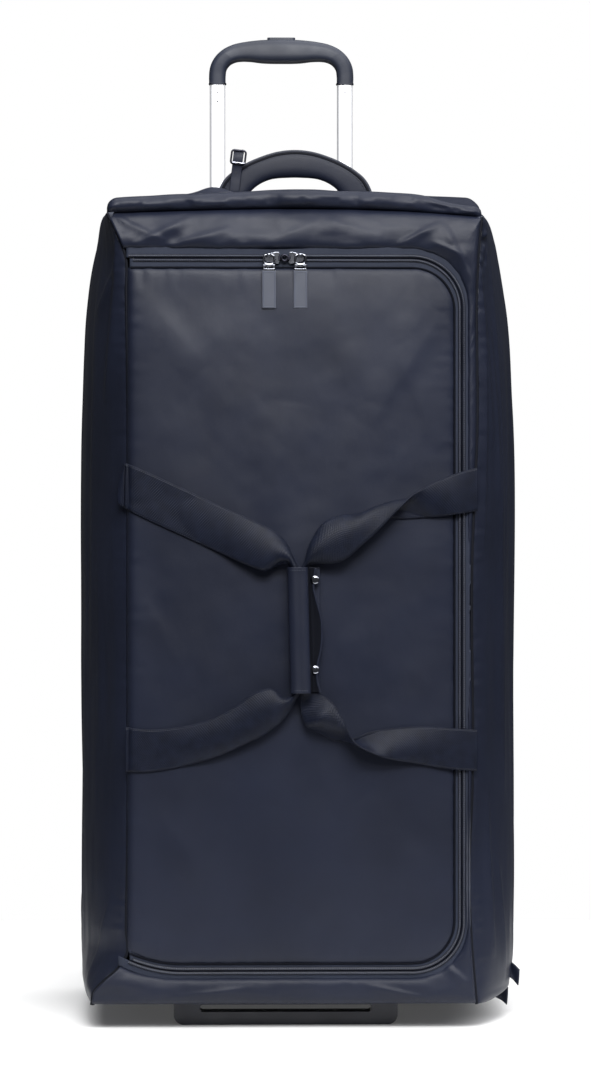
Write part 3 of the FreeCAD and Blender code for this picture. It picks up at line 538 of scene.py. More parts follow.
LEFT_SEAM_Z = [22, 34, 44, 54, 64, 90, 660, 690, 712, 730]
LEFT_SEAM_X = [-186, -183.5, -174, -162.5, -155.6, -155, -155, -155.6, -163.5, -172.5]
RIGHT_SEAM_Z = [22, 60, 115, 160, 205, 428, 526, 700, 727]
RIGHT_SEAM_X = [158.5, 155, 151.8, 152, 154, 154.4, 158.5, 160.5, 163]
HALF_Z = [21.5, 24, 32, 48, 85, 300, 560, 655, 692, 710, 728, 736]
HALF_LEFT = [190, 194.5, 198.5, 200, 200, 199, 199, 195, 190, 186, 181, 176.5]
HALF_RIGHT = [189, 195, 199, 201.5, 202.5, 201, 201, 194.5, 187.5, 183, 175, 167.5]
PLAN = [(0.0, FRONT), (0.2, -139), (0.467, -118), (0.822, -70), (0.978, -10), (1.0, 50),
        (0.93, 105), (0.7, 145), (0.33, 165), (0.0, BACK)]
SHOULDER = 735.0
LIP_Z_X = [-180, -90, 0, 90, 170]
LIP_Z = [729.5, 732.5, 734, 732, 726]
LIFT_X = [-172, -150, -120, -90, 0, 73, 110, 130, 150, 163]
LIFT = [6.2, 7.1, 7.3, 7.4, 8.6, 8.1, 7.8, 5.6, 4.8, 5.0]


def front_seam_x(side, height):
    if side < 0:
        return profile(LEFT_SEAM_Z, LEFT_SEAM_X, height)
    return profile(RIGHT_SEAM_Z, RIGHT_SEAM_X, height)


def side_points(side, along, height):
    """Points of a side panel; `along` runs from the front seam (0) to the back seam (1)."""
    plan = through(PLAN, along)
    half = profile(HALF_Z, HALF_LEFT if side < 0 else HALF_RIGHT, height)
    front = np.abs(front_seam_x(side, height))
    back = SEAM + 6 * smooth(690, SHOULDER, height)
    start = front + (back - front) * smooth(0.1, 0.9, along)
    reach = np.maximum(half - start, 2.0)
    x = side * (start + reach * plan[..., 0])
    return np.stack([x, plan[..., 1], height + 0 * x], -1)


def side_panel(side):
    name = "side_fabric_left" if side < 0 else "side_fabric_right"
    along = spread(0.0, 1.0, 210, 0.45)
    levels = spread(0.0, 1.0, 330, 0.55)
    top = 729.5 + (SHOULDER - 729.5) * smooth(0.0, 0.14, along)
    if side > 0:
        top = 726.5 + (SHOULDER - 726.5) * smooth(0.0, 0.14, along)
    low = BAG_FOOT + 0.6
    height = low + levels[:, None] * (top - low)[None, :]
    points = side_points(side, np.broadcast_to(along, height.shape), height)
    run = np.broadcast_to(along * 372.0, height.shape)
    end = 372.0 - run
    amount = 2.0 * noise(run / 60, height / 420, 1) + 0.9 * noise(run / 24, height / 200, 2)
    amount += 0.35 * noise(run / 12, height / 80, 3)
    amount *= smooth(0, 26, run) * smooth(0, 30, end) * smooth(0, 60, height - low)
    pucker = np.exp(-run / 9.0) + np.exp(-end / 9.0)
    amount += 1.0 * pucker * noise(run / 16, height / 5.2, 4)
    amount += 0.5 * np.exp(-(top - height) / 10) * noise(run / 6, height / 20, 5)
    lines = SIDE_FOLDS_LEFT if side < 0 else SIDE_FOLDS_RIGHT
    amount += folds(run, height, lines)
    if side > 0:
        crumple = np.exp(-((run - 10) / 16) ** 2 - ((height - 708) / 22) ** 2)
        amount += 2.6 * crumple * noise(run / 7, height / 6, 6)
    tuck = (-3.6 * np.exp(-run / 2.4) - 2.4 * np.exp(-end / 3.0)
            - 3.0 * np.exp(-(top - height) / 2.6))
    normal = outward(points) * (1.0 if side > 0 else -1.0)
    points = points + normal * (amount + tuck)[..., None]
    points[:, 0] = np.stack([front_seam_x(side, height[:, 0]), np.full(len(levels), SEAM_Y),
                             height[:, 0]], -1)
    points[:, -1, 1] = BACK - 3.5
    arch = (height < 73) & (points[..., 1] > 164.0) & (side < 0)
    item = grid(name, points, [SHELL, LINING], flip=side < 0, keep=~arch)
    thicken(item, 2.0)
    if side > 0:
        item = joined(name, [item, *seam_tails()])
    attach(item, "bag")
    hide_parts("side_panel_left" if side < 0 else "side_panel_right")
    return points


def seam_tails():
    """Two trimmed ends of seam binding that stand out of the lower right edge."""
    tails = []
    for root, tip, wide in (((191.0, 45), (203.5, 34), 13.0), ((181.0, 24), (193, 17), 14.0)):
        t = np.linspace(0, 1, 14)[None]
        u = np.linspace(-0.5, 0.5, 10)[:, None]
        x = root[0] + (tip[0] - root[0]) * t + 1.2 * u
        z = root[1] + (tip[1] - root[1]) * t + wide * u * (1 + 0.15 * t) + 1.2 * np.sin(2.6 * t)
        y = -52.0 + 1.6 * np.sin(4 * t + 3 * u) - 3.0 * t
        tail = grid("seam_tail", np.stack([x, y, z + 0 * x], -1), [SHELL, LINING])
        thicken(tail, 1.0, inner=False, offset=0.0)
        tails.append(tail)
    return tails


# each: (place along the side from the front seam, height) to the same, width, height
SIDE_FOLDS_LEFT = [
    ((2, 728), (34, 560), 11, 3.4), ((6, 706), (22, 672), 6, 2.6), ((10, 690), (60, 640), 10, 2.0),
    ((60, 700), (78, 300), 15, 2.4), ((112, 600), (104, 120), 18, 2.4), ((170, 690), (150, 200), 22, 2.6),
    ((250, 640), (262, 100), 20, 2.4), ((18, 120), (60, 40), 10, 2.0), ((200, 110), (250, 30), 14, 2.2),
]
SIDE_FOLDS_RIGHT = [
    ((3, 700), (24, 520), 8, 2.6), ((8, 660), (16, 420), 5, 1.6), ((36, 690), (52, 330), 9, 2.2),
    ((22, 640), (40, 470), 6, 1.8), ((64, 620), (58, 200), 12, 2.4), ((104, 660), (120, 160), 16, 2.6),
    ((160, 690), (170, 260), 20, 2.4), ((238, 600), (226, 90), 20, 2.4), ((20, 210), (34, 60), 8, 2.4),
    ((44, 150), (70, 36), 10, 2.2),
]


# ------------------------------------------------------------------ zipper line

TOP_RUN = ZIP_RIGHT - ZIP_RADIUS + SEAM
ARC_RUN = ZIP_RADIUS * math.pi / 2
SIDE_RUN = ZIP_TOP - ZIP_BOTTOM - 2 * ZIP_RADIUS
ZIP_LENGTH = 2 * TOP_RUN + 2 * ARC_RUN + SIDE_RUN


def zip_line(run, offset=0.0):
    """(x, z) on the zipper's middle line, moved outward by `offset`, and the way out."""
    run = np.asarray(run, float)
    corner_x = ZIP_RIGHT - ZIP_RADIUS
    high, low = ZIP_TOP - ZIP_RADIUS, ZIP_BOTTOM + ZIP_RADIUS
    second = TOP_RUN + ARC_RUN
    third = second + SIDE_RUN
    fourth = third + ARC_RUN
    angle = np.where(run < second, (run - TOP_RUN) / ZIP_RADIUS,
                     math.pi / 2 + (run - third) / ZIP_RADIUS)
    angle = np.clip(np.where((run >= second) & (run <= third), math.pi / 2, angle), 0, math.pi)
    out = np.stack([np.sin(angle), np.cos(angle)], -1)
    x = np.where(run < TOP_RUN, -SEAM + run, np.where(run > fourth, corner_x - (run - fourth), corner_x))
    z = np.where(run < second, high, np.where(run < third, high - (run - second), low))
    place = np.stack([x, z], -1) + out * (ZIP_RADIUS + np.asarray(offset)[..., None])
    place[..., 1] += np.where(run > fourth, end_lift(place[..., 0]), 0.0)
    place[..., 1] += 3.0 * smooth(third - 40, fourth, run)
    return place, out


def end_lift(x):
    """The bottom run turns up into the left seam."""
    return 11.0 * np.clip((-105.0 - x) / 50.0, 0.0, 1.2) ** 2


def zip_runs(step):
    return np.linspace(0, ZIP_LENGTH, int(ZIP_LENGTH / step) + 1)


def front_band():
    """The C-shaped front panel between the zipper and the outer seams."""
    mid_top = TOP_RUN + ARC_RUN / 2
    mid_low = TOP_RUN + ARC_RUN * 1.5 + SIDE_RUN
    runs = np.unique(np.concatenate([zip_runs(1.8), [mid_top, mid_low]]))
    keys = [0, TOP_RUN, mid_top, TOP_RUN + ARC_RUN, TOP_RUN + ARC_RUN + SIDE_RUN, mid_low,
            ZIP_LENGTH - TOP_RUN, ZIP_LENGTH]
    outer_x = np.interp(runs, keys, [-172.5, 118, 163, 0, 0, 158.5, 118, -184])
    outer_z = np.interp(runs, keys, [729.5, 0, 727, 662, 76, 22, 22, 22])
    on_top = runs <= mid_top
    on_side = (runs > mid_top) & (runs < mid_low)
    outer_z = np.where(on_top, profile(LIP_Z_X, LIP_Z, outer_x), outer_z)
    outer_x = np.where(on_side, profile(RIGHT_SEAM_Z, RIGHT_SEAM_X, outer_z), outer_x)
    across = spread(0.0, 1.0, 44, 0.55)[:, None]
    edge = np.interp(runs, [0, TOP_RUN, TOP_RUN + ARC_RUN, TOP_RUN + ARC_RUN + SIDE_RUN,
                            ZIP_LENGTH - TOP_RUN], [8.5, 8.0, 5.2, 5.2, 6.5])
    inner, _ = zip_line(runs, edge)
    x = inner[None, :, 0] * (1 - across) + outer_x[None] * across
    z = inner[None, :, 1] * (1 - across) + outer_z[None] * across
    x += (front_seam_x(-1, z) - x[:, :1]) * np.exp(-runs / 28.0)[None]
    low_end = np.exp(-(ZIP_LENGTH - runs) / 28.0)[None]
    x += (front_seam_x(-1, z) - x[:, -1:]) * low_end
    width = np.hypot(outer_x - inner[:, 0], outer_z - inner[:, 1])[None]
    start = across * width
    end = (1 - across) * width
    top = (1 - smooth(TOP_RUN - 40, mid_top + 20, runs))[None]
    bottom = smooth(mid_low - 10, mid_low + 60, runs)[None]
    seam_y = SEAM_Y + 4.5 * top * smooth(-175, -120, outer_x)[None]
    lean = 6.0 * top * across ** 1.3 - 1.0 * bottom
    room = np.clip(width / 36, 0.12, 1.0)
    puff = 3.4 * room * np.sin(np.pi * across ** 0.8) ** 0.8
    face = FACE + lean - puff
    face -= room * (1.2 * noise(x / 50, z / 26, 11) + 0.9 * noise(x / 20, z / 13, 12)
                    + 0.25 * noise(x / 9, z / 7, 15)) * smooth(0, 12, end)
    along = np.broadcast_to(runs[None], x.shape)
    face -= 0.5 * np.exp(-start / 5) * noise(start / 14, along / 5.0, 13)
    face -= 0.8 * np.exp(-end / 6) * noise(end / 12, along / 5.5, 14)
    face -= folds(x, z, BAND_FOLDS)
    y = face + 2.6 * np.exp(-start / 1.5) + (seam_y - face) * np.exp(-end / 2.2)
    points = np.stack([x, y, z], -1)
    item = grid("front_band", points, [SHELL, LINING])
    thicken(item, 2.0)
    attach(item, "bag")
    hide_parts("front_frame")
    return points[-1]


BAND_FOLDS = [
    ((-150, 700), (-96, 726), 6, 2.2), ((-120, 699), (-60, 716), 6, 1.8), ((-168, 728), (-120, 704), 5, 1.8),
    ((86, 700), (128, 722), 5, 2.0), ((118, 704), (150, 690), 5, 1.8), ((128, 722), (154, 668), 5, 1.6),
    ((20, 724), (74, 708), 8, 1.2), ((-30, 702), (16, 720), 9, 1.2), ((60, 40), (120, 26), 5, 1.4),
    ((-120, 28), (-40, 38), 6, 1.2), ((120, 66), (152, 40), 5, 1.6),
]


DOOR_RADIUS = 38.0
DOOR_EDGES = (DOOR_HIGH[0] - 1.6, DOOR_HIGH[2] - 3.4, DOOR_LOW[2] + 4.4)


def door_depth(x, z):
    """Y of the door's outer face."""
    radius = DOOR_RADIUS
    right, top, bottom = DOOR_EDGES
    to_right = np.maximum(right - x, 0)
    to_end = np.maximum(np.minimum(top - z, z - bottom), 0)
    corner = radius - np.hypot(np.maximum(radius - to_right, 0), np.maximum(radius - to_end, 0))
    edge = np.where((to_right < radius) & (to_end < radius), corner, np.minimum(to_right, to_end))
    edge = np.maximum(edge, 0)
    hinge = np.maximum(x + SEAM, 0)
    wide = np.clip((x + SEAM) / (right + SEAM), 0, 1)
    tall = np.clip((z - bottom) / (top - bottom), 0, 1)
    bow = 7.0 * np.sin(np.pi * wide ** 0.9) ** 0.7 * np.sin(np.pi * tall) ** 0.6
    face = FACE - 1.6 * (1 - np.exp(-edge / 12)) - bow
    inside = smooth(0, 30, edge) * smooth(0, 30, hinge)
    face -= inside * (1.3 * noise(x / 105, z / 130, 21) + 0.8 * noise(x / 52, z / 60, 22)
                      + 0.32 * noise(x / 24, z / 28, 23) + 0.1 * noise(x / 11, z / 12, 28))
    face -= folds(x, z, DOOR_FOLDS)
    face -= 0.55 * np.exp(-to_right / 8) * noise(x / 26, z / 5.5, 24)
    face -= 0.75 * np.exp(-np.maximum(top - z, 0) / 9) * noise(x / 6.5, z / 26, 25)
    face -= 0.6 * np.exp(-np.maximum(z - bottom, 0) / 9) * noise(x / 6.5, z / 26, 26)
    face -= 0.6 * np.exp(-hinge / 9) * noise(x / 20, z / 7, 27)
    y = face + 2.6 * np.exp(-edge / 1.5)
    return y + (SEAM_Y - y) * np.exp(-hinge / 2.3)


def door_fabric():
    """The bowed D-shaped door inside the zipper."""
    radius = DOOR_RADIUS
    right, top, bottom = DOOR_EDGES
    z = spread(bottom, top, 330, 0.6)[:, None]
    drop = np.clip(radius - np.minimum(top - z, z - bottom), 0, radius)
    last = right - (radius - np.sqrt(np.maximum(radius ** 2 - drop ** 2, 0)))
    x = -SEAM + spread(0.0, 1.0, 190, 0.6)[None] * (last + SEAM)
    z = np.broadcast_to(z, x.shape)
    y = door_depth(x, z)
    z = z + end_lift(x) * (1 - smooth(bottom, bottom + 90, z))
    points = np.stack([x, y, z], -1)
    item = grid("door_fabric", points, [SHELL, LINING])
    thicken(item, 2.2)
    # A near-black cord round the door's edge is painted shadow: it stands in for the shade in the groove
    # under the tape's edge.
    edge = np.concatenate([points[0, 6:-1], points[:, -1], points[-1, -2:5:-1]])
    edge = edge[np.concatenate([[True], np.linalg.norm(np.diff(edge, axis=0), axis=1) > 0.3])]
    edge[:, 1] = FRONT - 1.5
    cord = sweep("door_edge_painted_shadow", edge, circle(1.0, 8), [SHADE])
    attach(cord, "door")
    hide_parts("door_panel")
    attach(item, "door")
    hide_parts("door_panel")


DOOR_FOLDS = [
    ((-152, 668), (-86, 590), 22, 1.0), ((20, 674), (60, 560), 26, 0.9), ((126, 640), (60, 540), 22, 0.9),
    ((128, 520), (86, 610), 18, 0.8), ((-150, 400), (-96, 300), 20, 0.8), ((60, 210), (124, 120), 24, 0.9),
    ((-140, 200), (-60, 110), 24, 0.9), ((20, 240), (60, 100), 26, 0.8), ((-60, 240), (0, 292), 16, 1.2),
    ((10, 290), (-20, 200), 20, 1.2), ((-30, 450), (-10, 560), 30, 1.0), ((20, 450), (60, 560), 30, 0.9),
]


def zip_tapes():
    """Woven tapes that carry the coil, one on the door and one on the bag."""
    for name, inner, outer, body, node in (
            ("zip_tape_door_side", -15.5, -0.4, "door", "zipper_tape_door"),
            ("zip_tape_bag_side", 0.4, 10.5, "bag", "zipper_tape_frame")):
        inside = zip_runs(3.0)[1:-1]
        runs = inside if body == "door" else np.concatenate([[0.0], inside, [ZIP_LENGTH, ZIP_LENGTH + 7.0]])
        rows = []
        for offset in np.linspace(inner, outer, 9):
            keep_in = np.full(len(runs), offset)
            if body == "bag":
                keep_in = np.minimum(keep_in, np.interp(
                    runs, [TOP_RUN, TOP_RUN + ARC_RUN, TOP_RUN + ARC_RUN + SIDE_RUN,
                           ZIP_LENGTH - TOP_RUN], [10.5, 7.0, 7.0, 9.0]))
            place, _ = zip_line(runs, keep_in)
            depth = FRONT - 1.2 + 0.12 * noise(runs / 14, offset / 6, 31)
            rows.append(np.stack([place[:, 0], depth, place[:, 1]], -1))
        item = grid(name, np.array(rows), [TAPE])
        thicken(item, 0.8, inner=False)
        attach(item, body)
        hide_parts(node)


def zip_coils():
    """Ribbed coil halves and the two rows of stitching on them."""
    gap_low, gap_high = SLIDER_X[0] + 3 + SEAM, SLIDER_X[1] - 3 + SEAM
    for name, sign, body, node in (("coil_door_side", -1, "door", "zipper_chain_door"),
                                   ("coil_bag_side", 1, "bag", "zipper_chain_frame")):
        pieces = []
        hinge = 2.0 if sign > 0 else 6.0
        for start, end in ((hinge, gap_low), (gap_high, ZIP_LENGTH - hinge)):
            runs = np.linspace(start, end, int((end - start) / 0.4) + 1)
            rows = []
            for share in np.linspace(-1, 1, 9) * sign:
                rib = 0.86 + 0.14 * np.cos(2 * np.pi * runs / 1.6 + 0.6 * share)
                place, _ = zip_line(runs, np.full(len(runs), sign * 1.95 + 1.8 * share))
                depth = FRONT - 0.3 - 2.5 * math.sqrt(max(1 - share ** 2, 0)) * rib
                rows.append(np.stack([place[:, 0], depth, place[:, 1]], -1))
            rows = np.array(rows)
            pieces.append(grid(name, rows, [COIL, THREAD], flip=sign < 0 and rows[0, 0, 2] > rows[-1, 0, 2]))
            place, _ = zip_line(runs, np.full(len(runs), sign * 1.95))
            path = np.stack([place[:, 0], np.full(len(runs), FRONT - 2.72), place[:, 1]], -1)
            pieces.append(stitches(name + "_thread", path, 1.6, 1.05, 1.0, [COIL, THREAD]))
            for face in pieces[-1].data.polygons:
                face.material_index = 1
        item = joined(name, pieces)
        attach(item, body)
        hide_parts(node)


SLIDER_X = [-25.0, -3.0]


# ------------------------------------------------------------------ top, back and bottom

def top_fabric(left_edge, right_edge, front_seam):
    """The crowned top panel with its rolled front lip."""
    share = spread(0.0, 1.0, 240, 0.5)[None]
    turns = np.radians(np.linspace(-90, 90, 30))
    lip_rows = len(turns)
    seam_x = -172.5 + share * (163 + 172.5)
    seam_z = profile(LIP_Z_X, LIP_Z, seam_x)
    seam_y = np.interp(seam_x[0], front_seam[:, 0], front_seam[:, 1])[None]
    reach = np.minimum(seam_x + 172.5, 163 - seam_x)
    close = np.sqrt(np.clip(1 - (1 - np.clip(reach / 9.0, 0, 1)) ** 2, 0, 1))
    thin = 1 - 0.6 * smooth(60, 163, seam_x)
    lift = profile(LIFT_X, LIFT, seam_x) * (0.35 + 0.65 * close) * (1 + 0.05 * noise(seam_x / 30, 0.5, 41))
    bulge = 9.5 * thin * close * (1 + 0.16 * noise(seam_x / 24, 1.5, 42) + 0.08 * noise(seam_x / 9, 3.5, 46))
    turn = turns[:, None]
    wave = (0.9 * noise(seam_x / 13, turn * 1.2, 43) + 0.45 * noise(seam_x / 6, turn * 1.6, 47)) * close
    lip = np.stack([seam_x + 0 * turn,
                    seam_y + 0.6 - bulge * np.cos(turn) - wave * np.cos(turn) ** 2,
                    seam_z + lift * (1 + np.sin(turn))], -1)
    depth = spread(0.0, 1.0, 150, 0.5)[1:, None]
    y = (seam_y + 0.6) * (1 - depth) + (BACK - 3.5) * depth
    edge_low = np.interp(y[:, 0], left_edge[:, 1], left_edge[:, 0])[:, None]
    edge_high = np.interp(y[:, 0], right_edge[:, 1], right_edge[:, 0])[:, None]
    start = smooth(0, 0.12, depth)
    x = (seam_x * (1 - start) + (edge_low + share * (edge_high - edge_low)) * start)
    border = np.minimum(x - edge_low, edge_high - x)
    roll = np.sqrt(np.clip(1 - (1 - np.clip(border / 12.0, 0, 1)) ** 2, 0, 1))
    crown = 751.2 - 5.0 * (np.abs(x) / 176) ** 2.2
    crown -= 6 * np.exp(-np.abs(BACK - 3.5 - y) / 5)
    ripple = 0.9 * noise(x / 60, y / 60, 44) + 0.4 * noise(x / 25, y / 25, 45)
    crown += ripple * smooth(20, 50, border) * 0.7
    crown -= 1.6 * smooth(120, 134, y) * (1 - smooth(156, 168, y)) * smooth(60, 80, 100 - np.abs(x + 12))
    lip_top = seam_z + 2 * lift
    full = lip_top * (1 - smooth(0, 0.14, depth)) + crown * smooth(0, 0.14, depth)
    base = seam_z * (1 - start) + SHOULDER * start
    z = base + (full - base) * (roll * start + (1 - start))
    z = z + 6 * np.exp(-((x + 78) / 15) ** 2 - ((y + 118) / 12) ** 2)
    z = z + 1.6 * folds(x, y, [((-60, -120), (-150, -60), 10, 1.0), ((70, -110), (130, -30), 12, 1.0),
                               ((-130, 20), (-110, 120), 12, 0.9), ((110, 20), (130, 130), 12, 0.9)])
    points = np.concatenate([lip, np.stack([x, y + 0 * x, z], -1)])
    low, high = span("trolley_outer_tubes")
    wide = high[1] - low[1] + 5.0
    clear_y = np.abs(points[..., 1] - (low[1] + high[1]) / 2) > (high[1] - low[1]) / 2 + 1.0
    aside = np.minimum(np.abs(points[..., 0] - (low[0] + wide / 2)),
                       np.abs(points[..., 0] - (high[0] - wide / 2)))
    item = grid("top_fabric", points, [SHELL, LINING], keep=clear_y | (aside >= wide / 2 + 1.0))
    thicken(item, 2.0)
    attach(item, "bag")
    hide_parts("top_panel")


def back_fabric():
    low = span("back_panel")[0][2] - 1
    z = spread(low, 742.0, 150, 0.5)[:, None]
    x = spread(-SEAM - 1, SEAM + 1, 110, 0.5)[None]
    border = np.minimum(x + SEAM + 1, SEAM + 1 - x)
    top_edge = 742.0 - z
    y = BACK - 0.8 - 2.5 * np.exp(-border / 4) - 3.0 * np.exp(-top_edge / 4)
    y = y + smooth(0, 40, border) * (1.0 * noise(x / 70, z / 120, 51) + 0.4 * noise(x / 26, z / 50, 52))
    y = y + 0.4 * np.exp(-border / 9) * noise(x / 20, z / 6, 53)
    x, z = np.broadcast_arrays(x, z)
    item = grid("back_fabric", np.stack([x, y, z], -1), [SHELL, LINING], flip=True)
    thicken(item, 2.0)
    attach(item, "bag")
    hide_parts("back_panel")
    housing = span("wheel_housing_right")[1]
    z = np.linspace(BAG_FOOT + 2, low + 3, 24)[:, None]
    x = np.linspace(housing[0] + 0.4, SEAM + 1, 12)[None]
    y = BACK - 2.0 - 1.5 * np.exp(-(SEAM + 1 - x) / 3) + 0 * z
    x, z = np.broadcast_arrays(x, z)
    corner = grid("back_corner_fabric", np.stack([x, y, z], -1), [SHELL, LINING], flip=True)
    thicken(corner, 2.0)
    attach(corner, "bag")


def bottom_fabric(left_foot, right_foot):
    housings = [span("wheel_housing_" + side) for side in ("left", "right")]
    edges = [housings[0][0][1], *(box[k][0] for box in housings for k in (0, 1))]
    y = np.concatenate([spread(SEAM_Y, edges[0], 60, 0.5),
                        np.linspace(edges[0], BACK - 3.0, 20)[1:]])[:, None]
    first = np.interp(y[:, 0], left_foot[:, 1], left_foot[:, 0])[:, None]
    last = np.interp(y[:, 0], right_foot[:, 1], right_foot[:, 0])[:, None]
    x = first + spread(0.0, 1.0, 70, 0.5)[None] * (last - first)
    z = BAG_FOOT + 0.4 + 0.3 * noise(x / 50, y / 50, 61)
    z = z + 1.0 * np.exp(-(y - SEAM_Y) / 3)
    points = np.stack([x, y + 0 * x, z], -1)
    wheels = np.zeros(x.shape, bool)
    for left, right in (edges[1:3], edges[3:]):
        wheels |= (x > left + 1) & (x < right - 1) & (y > edges[0] + 1)
    item = grid("bottom_fabric", points, [SHELL, LINING], flip=True, keep=~wheels)
    thicken(item, 1.6)
    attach(item, "bag")
    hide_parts("bottom_panel")
    bay_cover(housings, left_foot, right_foot)


def bay_cover(housings, left_foot, right_foot):
    """Lining stretched over both wheel housings inside the bag."""
    front, top = housings[0][0][1] - 2.2, housings[0][1][2] + 1.6
    foot = span("base_board")[1][2] + 0.6
    route = [(front, foot), (front, foot + 14), (front, top - 10), (front + 2.5, top - 2.5),
             (front + 10, top), (front + 30, top), (BACK - 6.0, top)]
    line = through(np.array([(0, y, z) for y, z in route], float), np.linspace(0, 1, 50))
    y, z = line[:, 1][:, None], line[:, 2][:, None]
    first = np.interp(y[:, 0], left_foot[:, 1], left_foot[:, 0])[:, None] + 3.0
    last = np.interp(y[:, 0], right_foot[:, 1], right_foot[:, 0])[:, None] - 3.0
    x = first + np.linspace(0, 1, 60)[None] * (last - first)
    item = grid("wheel_bay_lining", np.stack([x, y + 0 * x, z + 0 * x], -1), [LINING, LINING])
    thicken(item, 1.0)
    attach(item, "bag")


# ------------------------------------------------------------------ straps and grip wrap
STRAP_THICK = 1.7

# each station: first edge, middle, second edge of the webbing
LEFT_UPPER = [
    [(-155.4, -152.5, 505), (-155.8, -153, 486), (-156, -152.5, 466.5)],
    [(-141, -155, 499), (-142, -155.6, 479.5), (-145, -155, 460.5)],
    [(-108, -159, 484), (-108, -160.5, 463.5), (-109, -159, 443.8)],
    [(-67.5, -163, 465.3), (-67, -165.5, 445), (-67.5, -164, 425.1)],
    [(-40, -166, 453), (-42, -171, 434), (-47, -169, 415.8)],
    [(-21, -168, 442.5), (-24, -176, 429), (-30, -173, 411.2)],
    [(-11.5, -168, 432.5), (-13.5, -178, 424), (-19, -169, 415.5)],
    [(-6.3, -170, 421), (-8, -177.5, 418.5), (-12, -168, 417)],
    [(-3.2, -174, 413.6), (-5.5, -178, 413.4), (-8.6, -173, 413.4)],
    [(2, -176.2, 404), (-2.5, -178.2, 404), (-7, -176.2, 404)],
]
LEFT_LOWER = [
    [(-155.4, -152.5, 269.3), (-155.6, -153, 250), (-155.6, -152.5, 231)],
    [(-138, -155, 267.5), (-138, -156.2, 249), (-138, -155, 231)],
    [(-112, -160, 269), (-110, -161.5, 252), (-106, -159, 236)],
    [(-85, -164, 275), (-82, -167, 258.5), (-76, -164, 244.5)],
    [(-60, -167, 286.5), (-56, -171, 270), (-50, -168, 256)],
    [(-38, -169, 301.5), (-35, -174, 284), (-29, -170, 267)],
    [(-24.5, -170, 303.8), (-22, -175, 290), (-16, -171, 277.5)],
    [(-14.8, -171, 296.4), (-12.5, -175, 292), (-9.6, -171, 285.8)],
    [(-7, -172, 298.6), (-6, -175.5, 297.6), (-4, -172, 296)],
    [(-5.5, -176, 309), (-0.5, -178.2, 309), (4.5, -176.4, 309)],
]
LEFT_TAIL = [
    [(-155.7, -151.2, 504.6), (-156.4, -151.6, 486), (-156.4, -151.2, 467)],
    [(-156.6, -150.4, 503.8), (-159.3, -150.6, 487), (-160.4, -150.2, 469)],
    [(-157.0, -148.6, 503), (-161.2, -148.8, 487.5), (-162.8, -148.4, 471)],
]
RIGHT_UPPER = [
    [(158.5, -151, 501), (159, -151.5, 482.5), (158.5, -151, 464)],
    [(143.7, -156.8, 497.1), (144, -157.6, 479), (143, -156.8, 461.5)],
    [(128.8, -160, 491.6), (127, -161.5, 475.5), (125, -158.5, 459)],
    [(114, -165, 484.9), (111, -164.5, 472), (107, -157.5, 457.8)],
    [(99.9, -170, 476.8), (99, -164, 470), (92, -156, 456.9)],
    [(88, -174, 466), (86, -166, 471.8), (79, -156.5, 458)],
    [(69.6, -175, 447.3), (68, -170, 465.4), (64, -159, 461)],
    [(53.7, -174.5, 432.8), (50, -176, 451.5), (48, -165, 460.2)],
    [(38, -173.5, 419.7), (33, -178.5, 441), (31, -169.5, 457)],
    [(24, -172, 416.9), (19, -178.5, 431), (17, -172, 447.6)],
    [(14, -170.5, 417), (11, -176.5, 423.5), (8.2, -172.5, 431.5)],
    [(6.8, -169.2, 414.6), (5.4, -172.8, 415.4), (3.8, -171.8, 416.4)],
    [(6, -169.2, 405), (1, -170.6, 405), (-4, -169.4, 405)],
]
RIGHT_LOWER = [
    [(158.5, -151, 266.5), (159, -151.5, 249), (158.5, -151, 231.5)],
    [(138, -156.8, 268), (138, -157.6, 251), (138, -156.8, 233)],
    [(107, -159, 270), (108, -162.5, 253), (104, -161, 238.5)],
    [(80, -159, 268), (80, -165.5, 255), (78, -168, 243.5)],
    [(60, -157, 264.6), (60, -164.5, 256), (62, -173.5, 249)],
    [(46, -156, 259), (46, -166, 256.5), (48.5, -176, 257)],
    [(33, -157.5, 258), (37, -170, 264.5), (41.5, -176, 269)],
    [(18, -163, 265.5), (26, -174, 272), (35.5, -175, 281.5)],
    [(7, -169, 271), (17.5, -176.5, 279.5), (29.5, -172.5, 291)],
    [(2.5, -168.5, 279), (11.5, -170.5, 287), (22, -169.5, 297)],
    [(1, -167.5, 289), (7, -167.6, 294), (14, -168.5, 300)],
    [(0.5, -168.5, 299), (3.5, -169.6, 301), (8, -169.5, 302)],
    [(-5, -169.4, 312), (0, -170.6, 312), (5, -169.2, 312)],
]


def straps():
    for name, upper, lower, body, node, layer in (
            ("strap_left_webbing", LEFT_UPPER, LEFT_LOWER, "door", "strap_left", -177.6),
            ("strap_right_webbing", RIGHT_UPPER, RIGHT_LOWER, "bag", "strap_right", -170.2)):
        ends = []
        for part, stations in (("_upper", upper), ("_lower", lower)):
            ends.append(ribbon(name + part, stations))
        if body == "bag":
            ends.append(ribbon(name + "_tail", LEFT_TAIL, 20))
        path = np.array([(-0.5, layer, z) for z in np.linspace(402, 311, 30)])
        ends.append(sweep(name + "_core", path, rounded(1.8, 9.6, 0.8, 3), [WEBBING]))
        item = joined(name, ends)
        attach(item, body)
        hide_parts(node)
        if body == "bag":
            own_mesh(item)


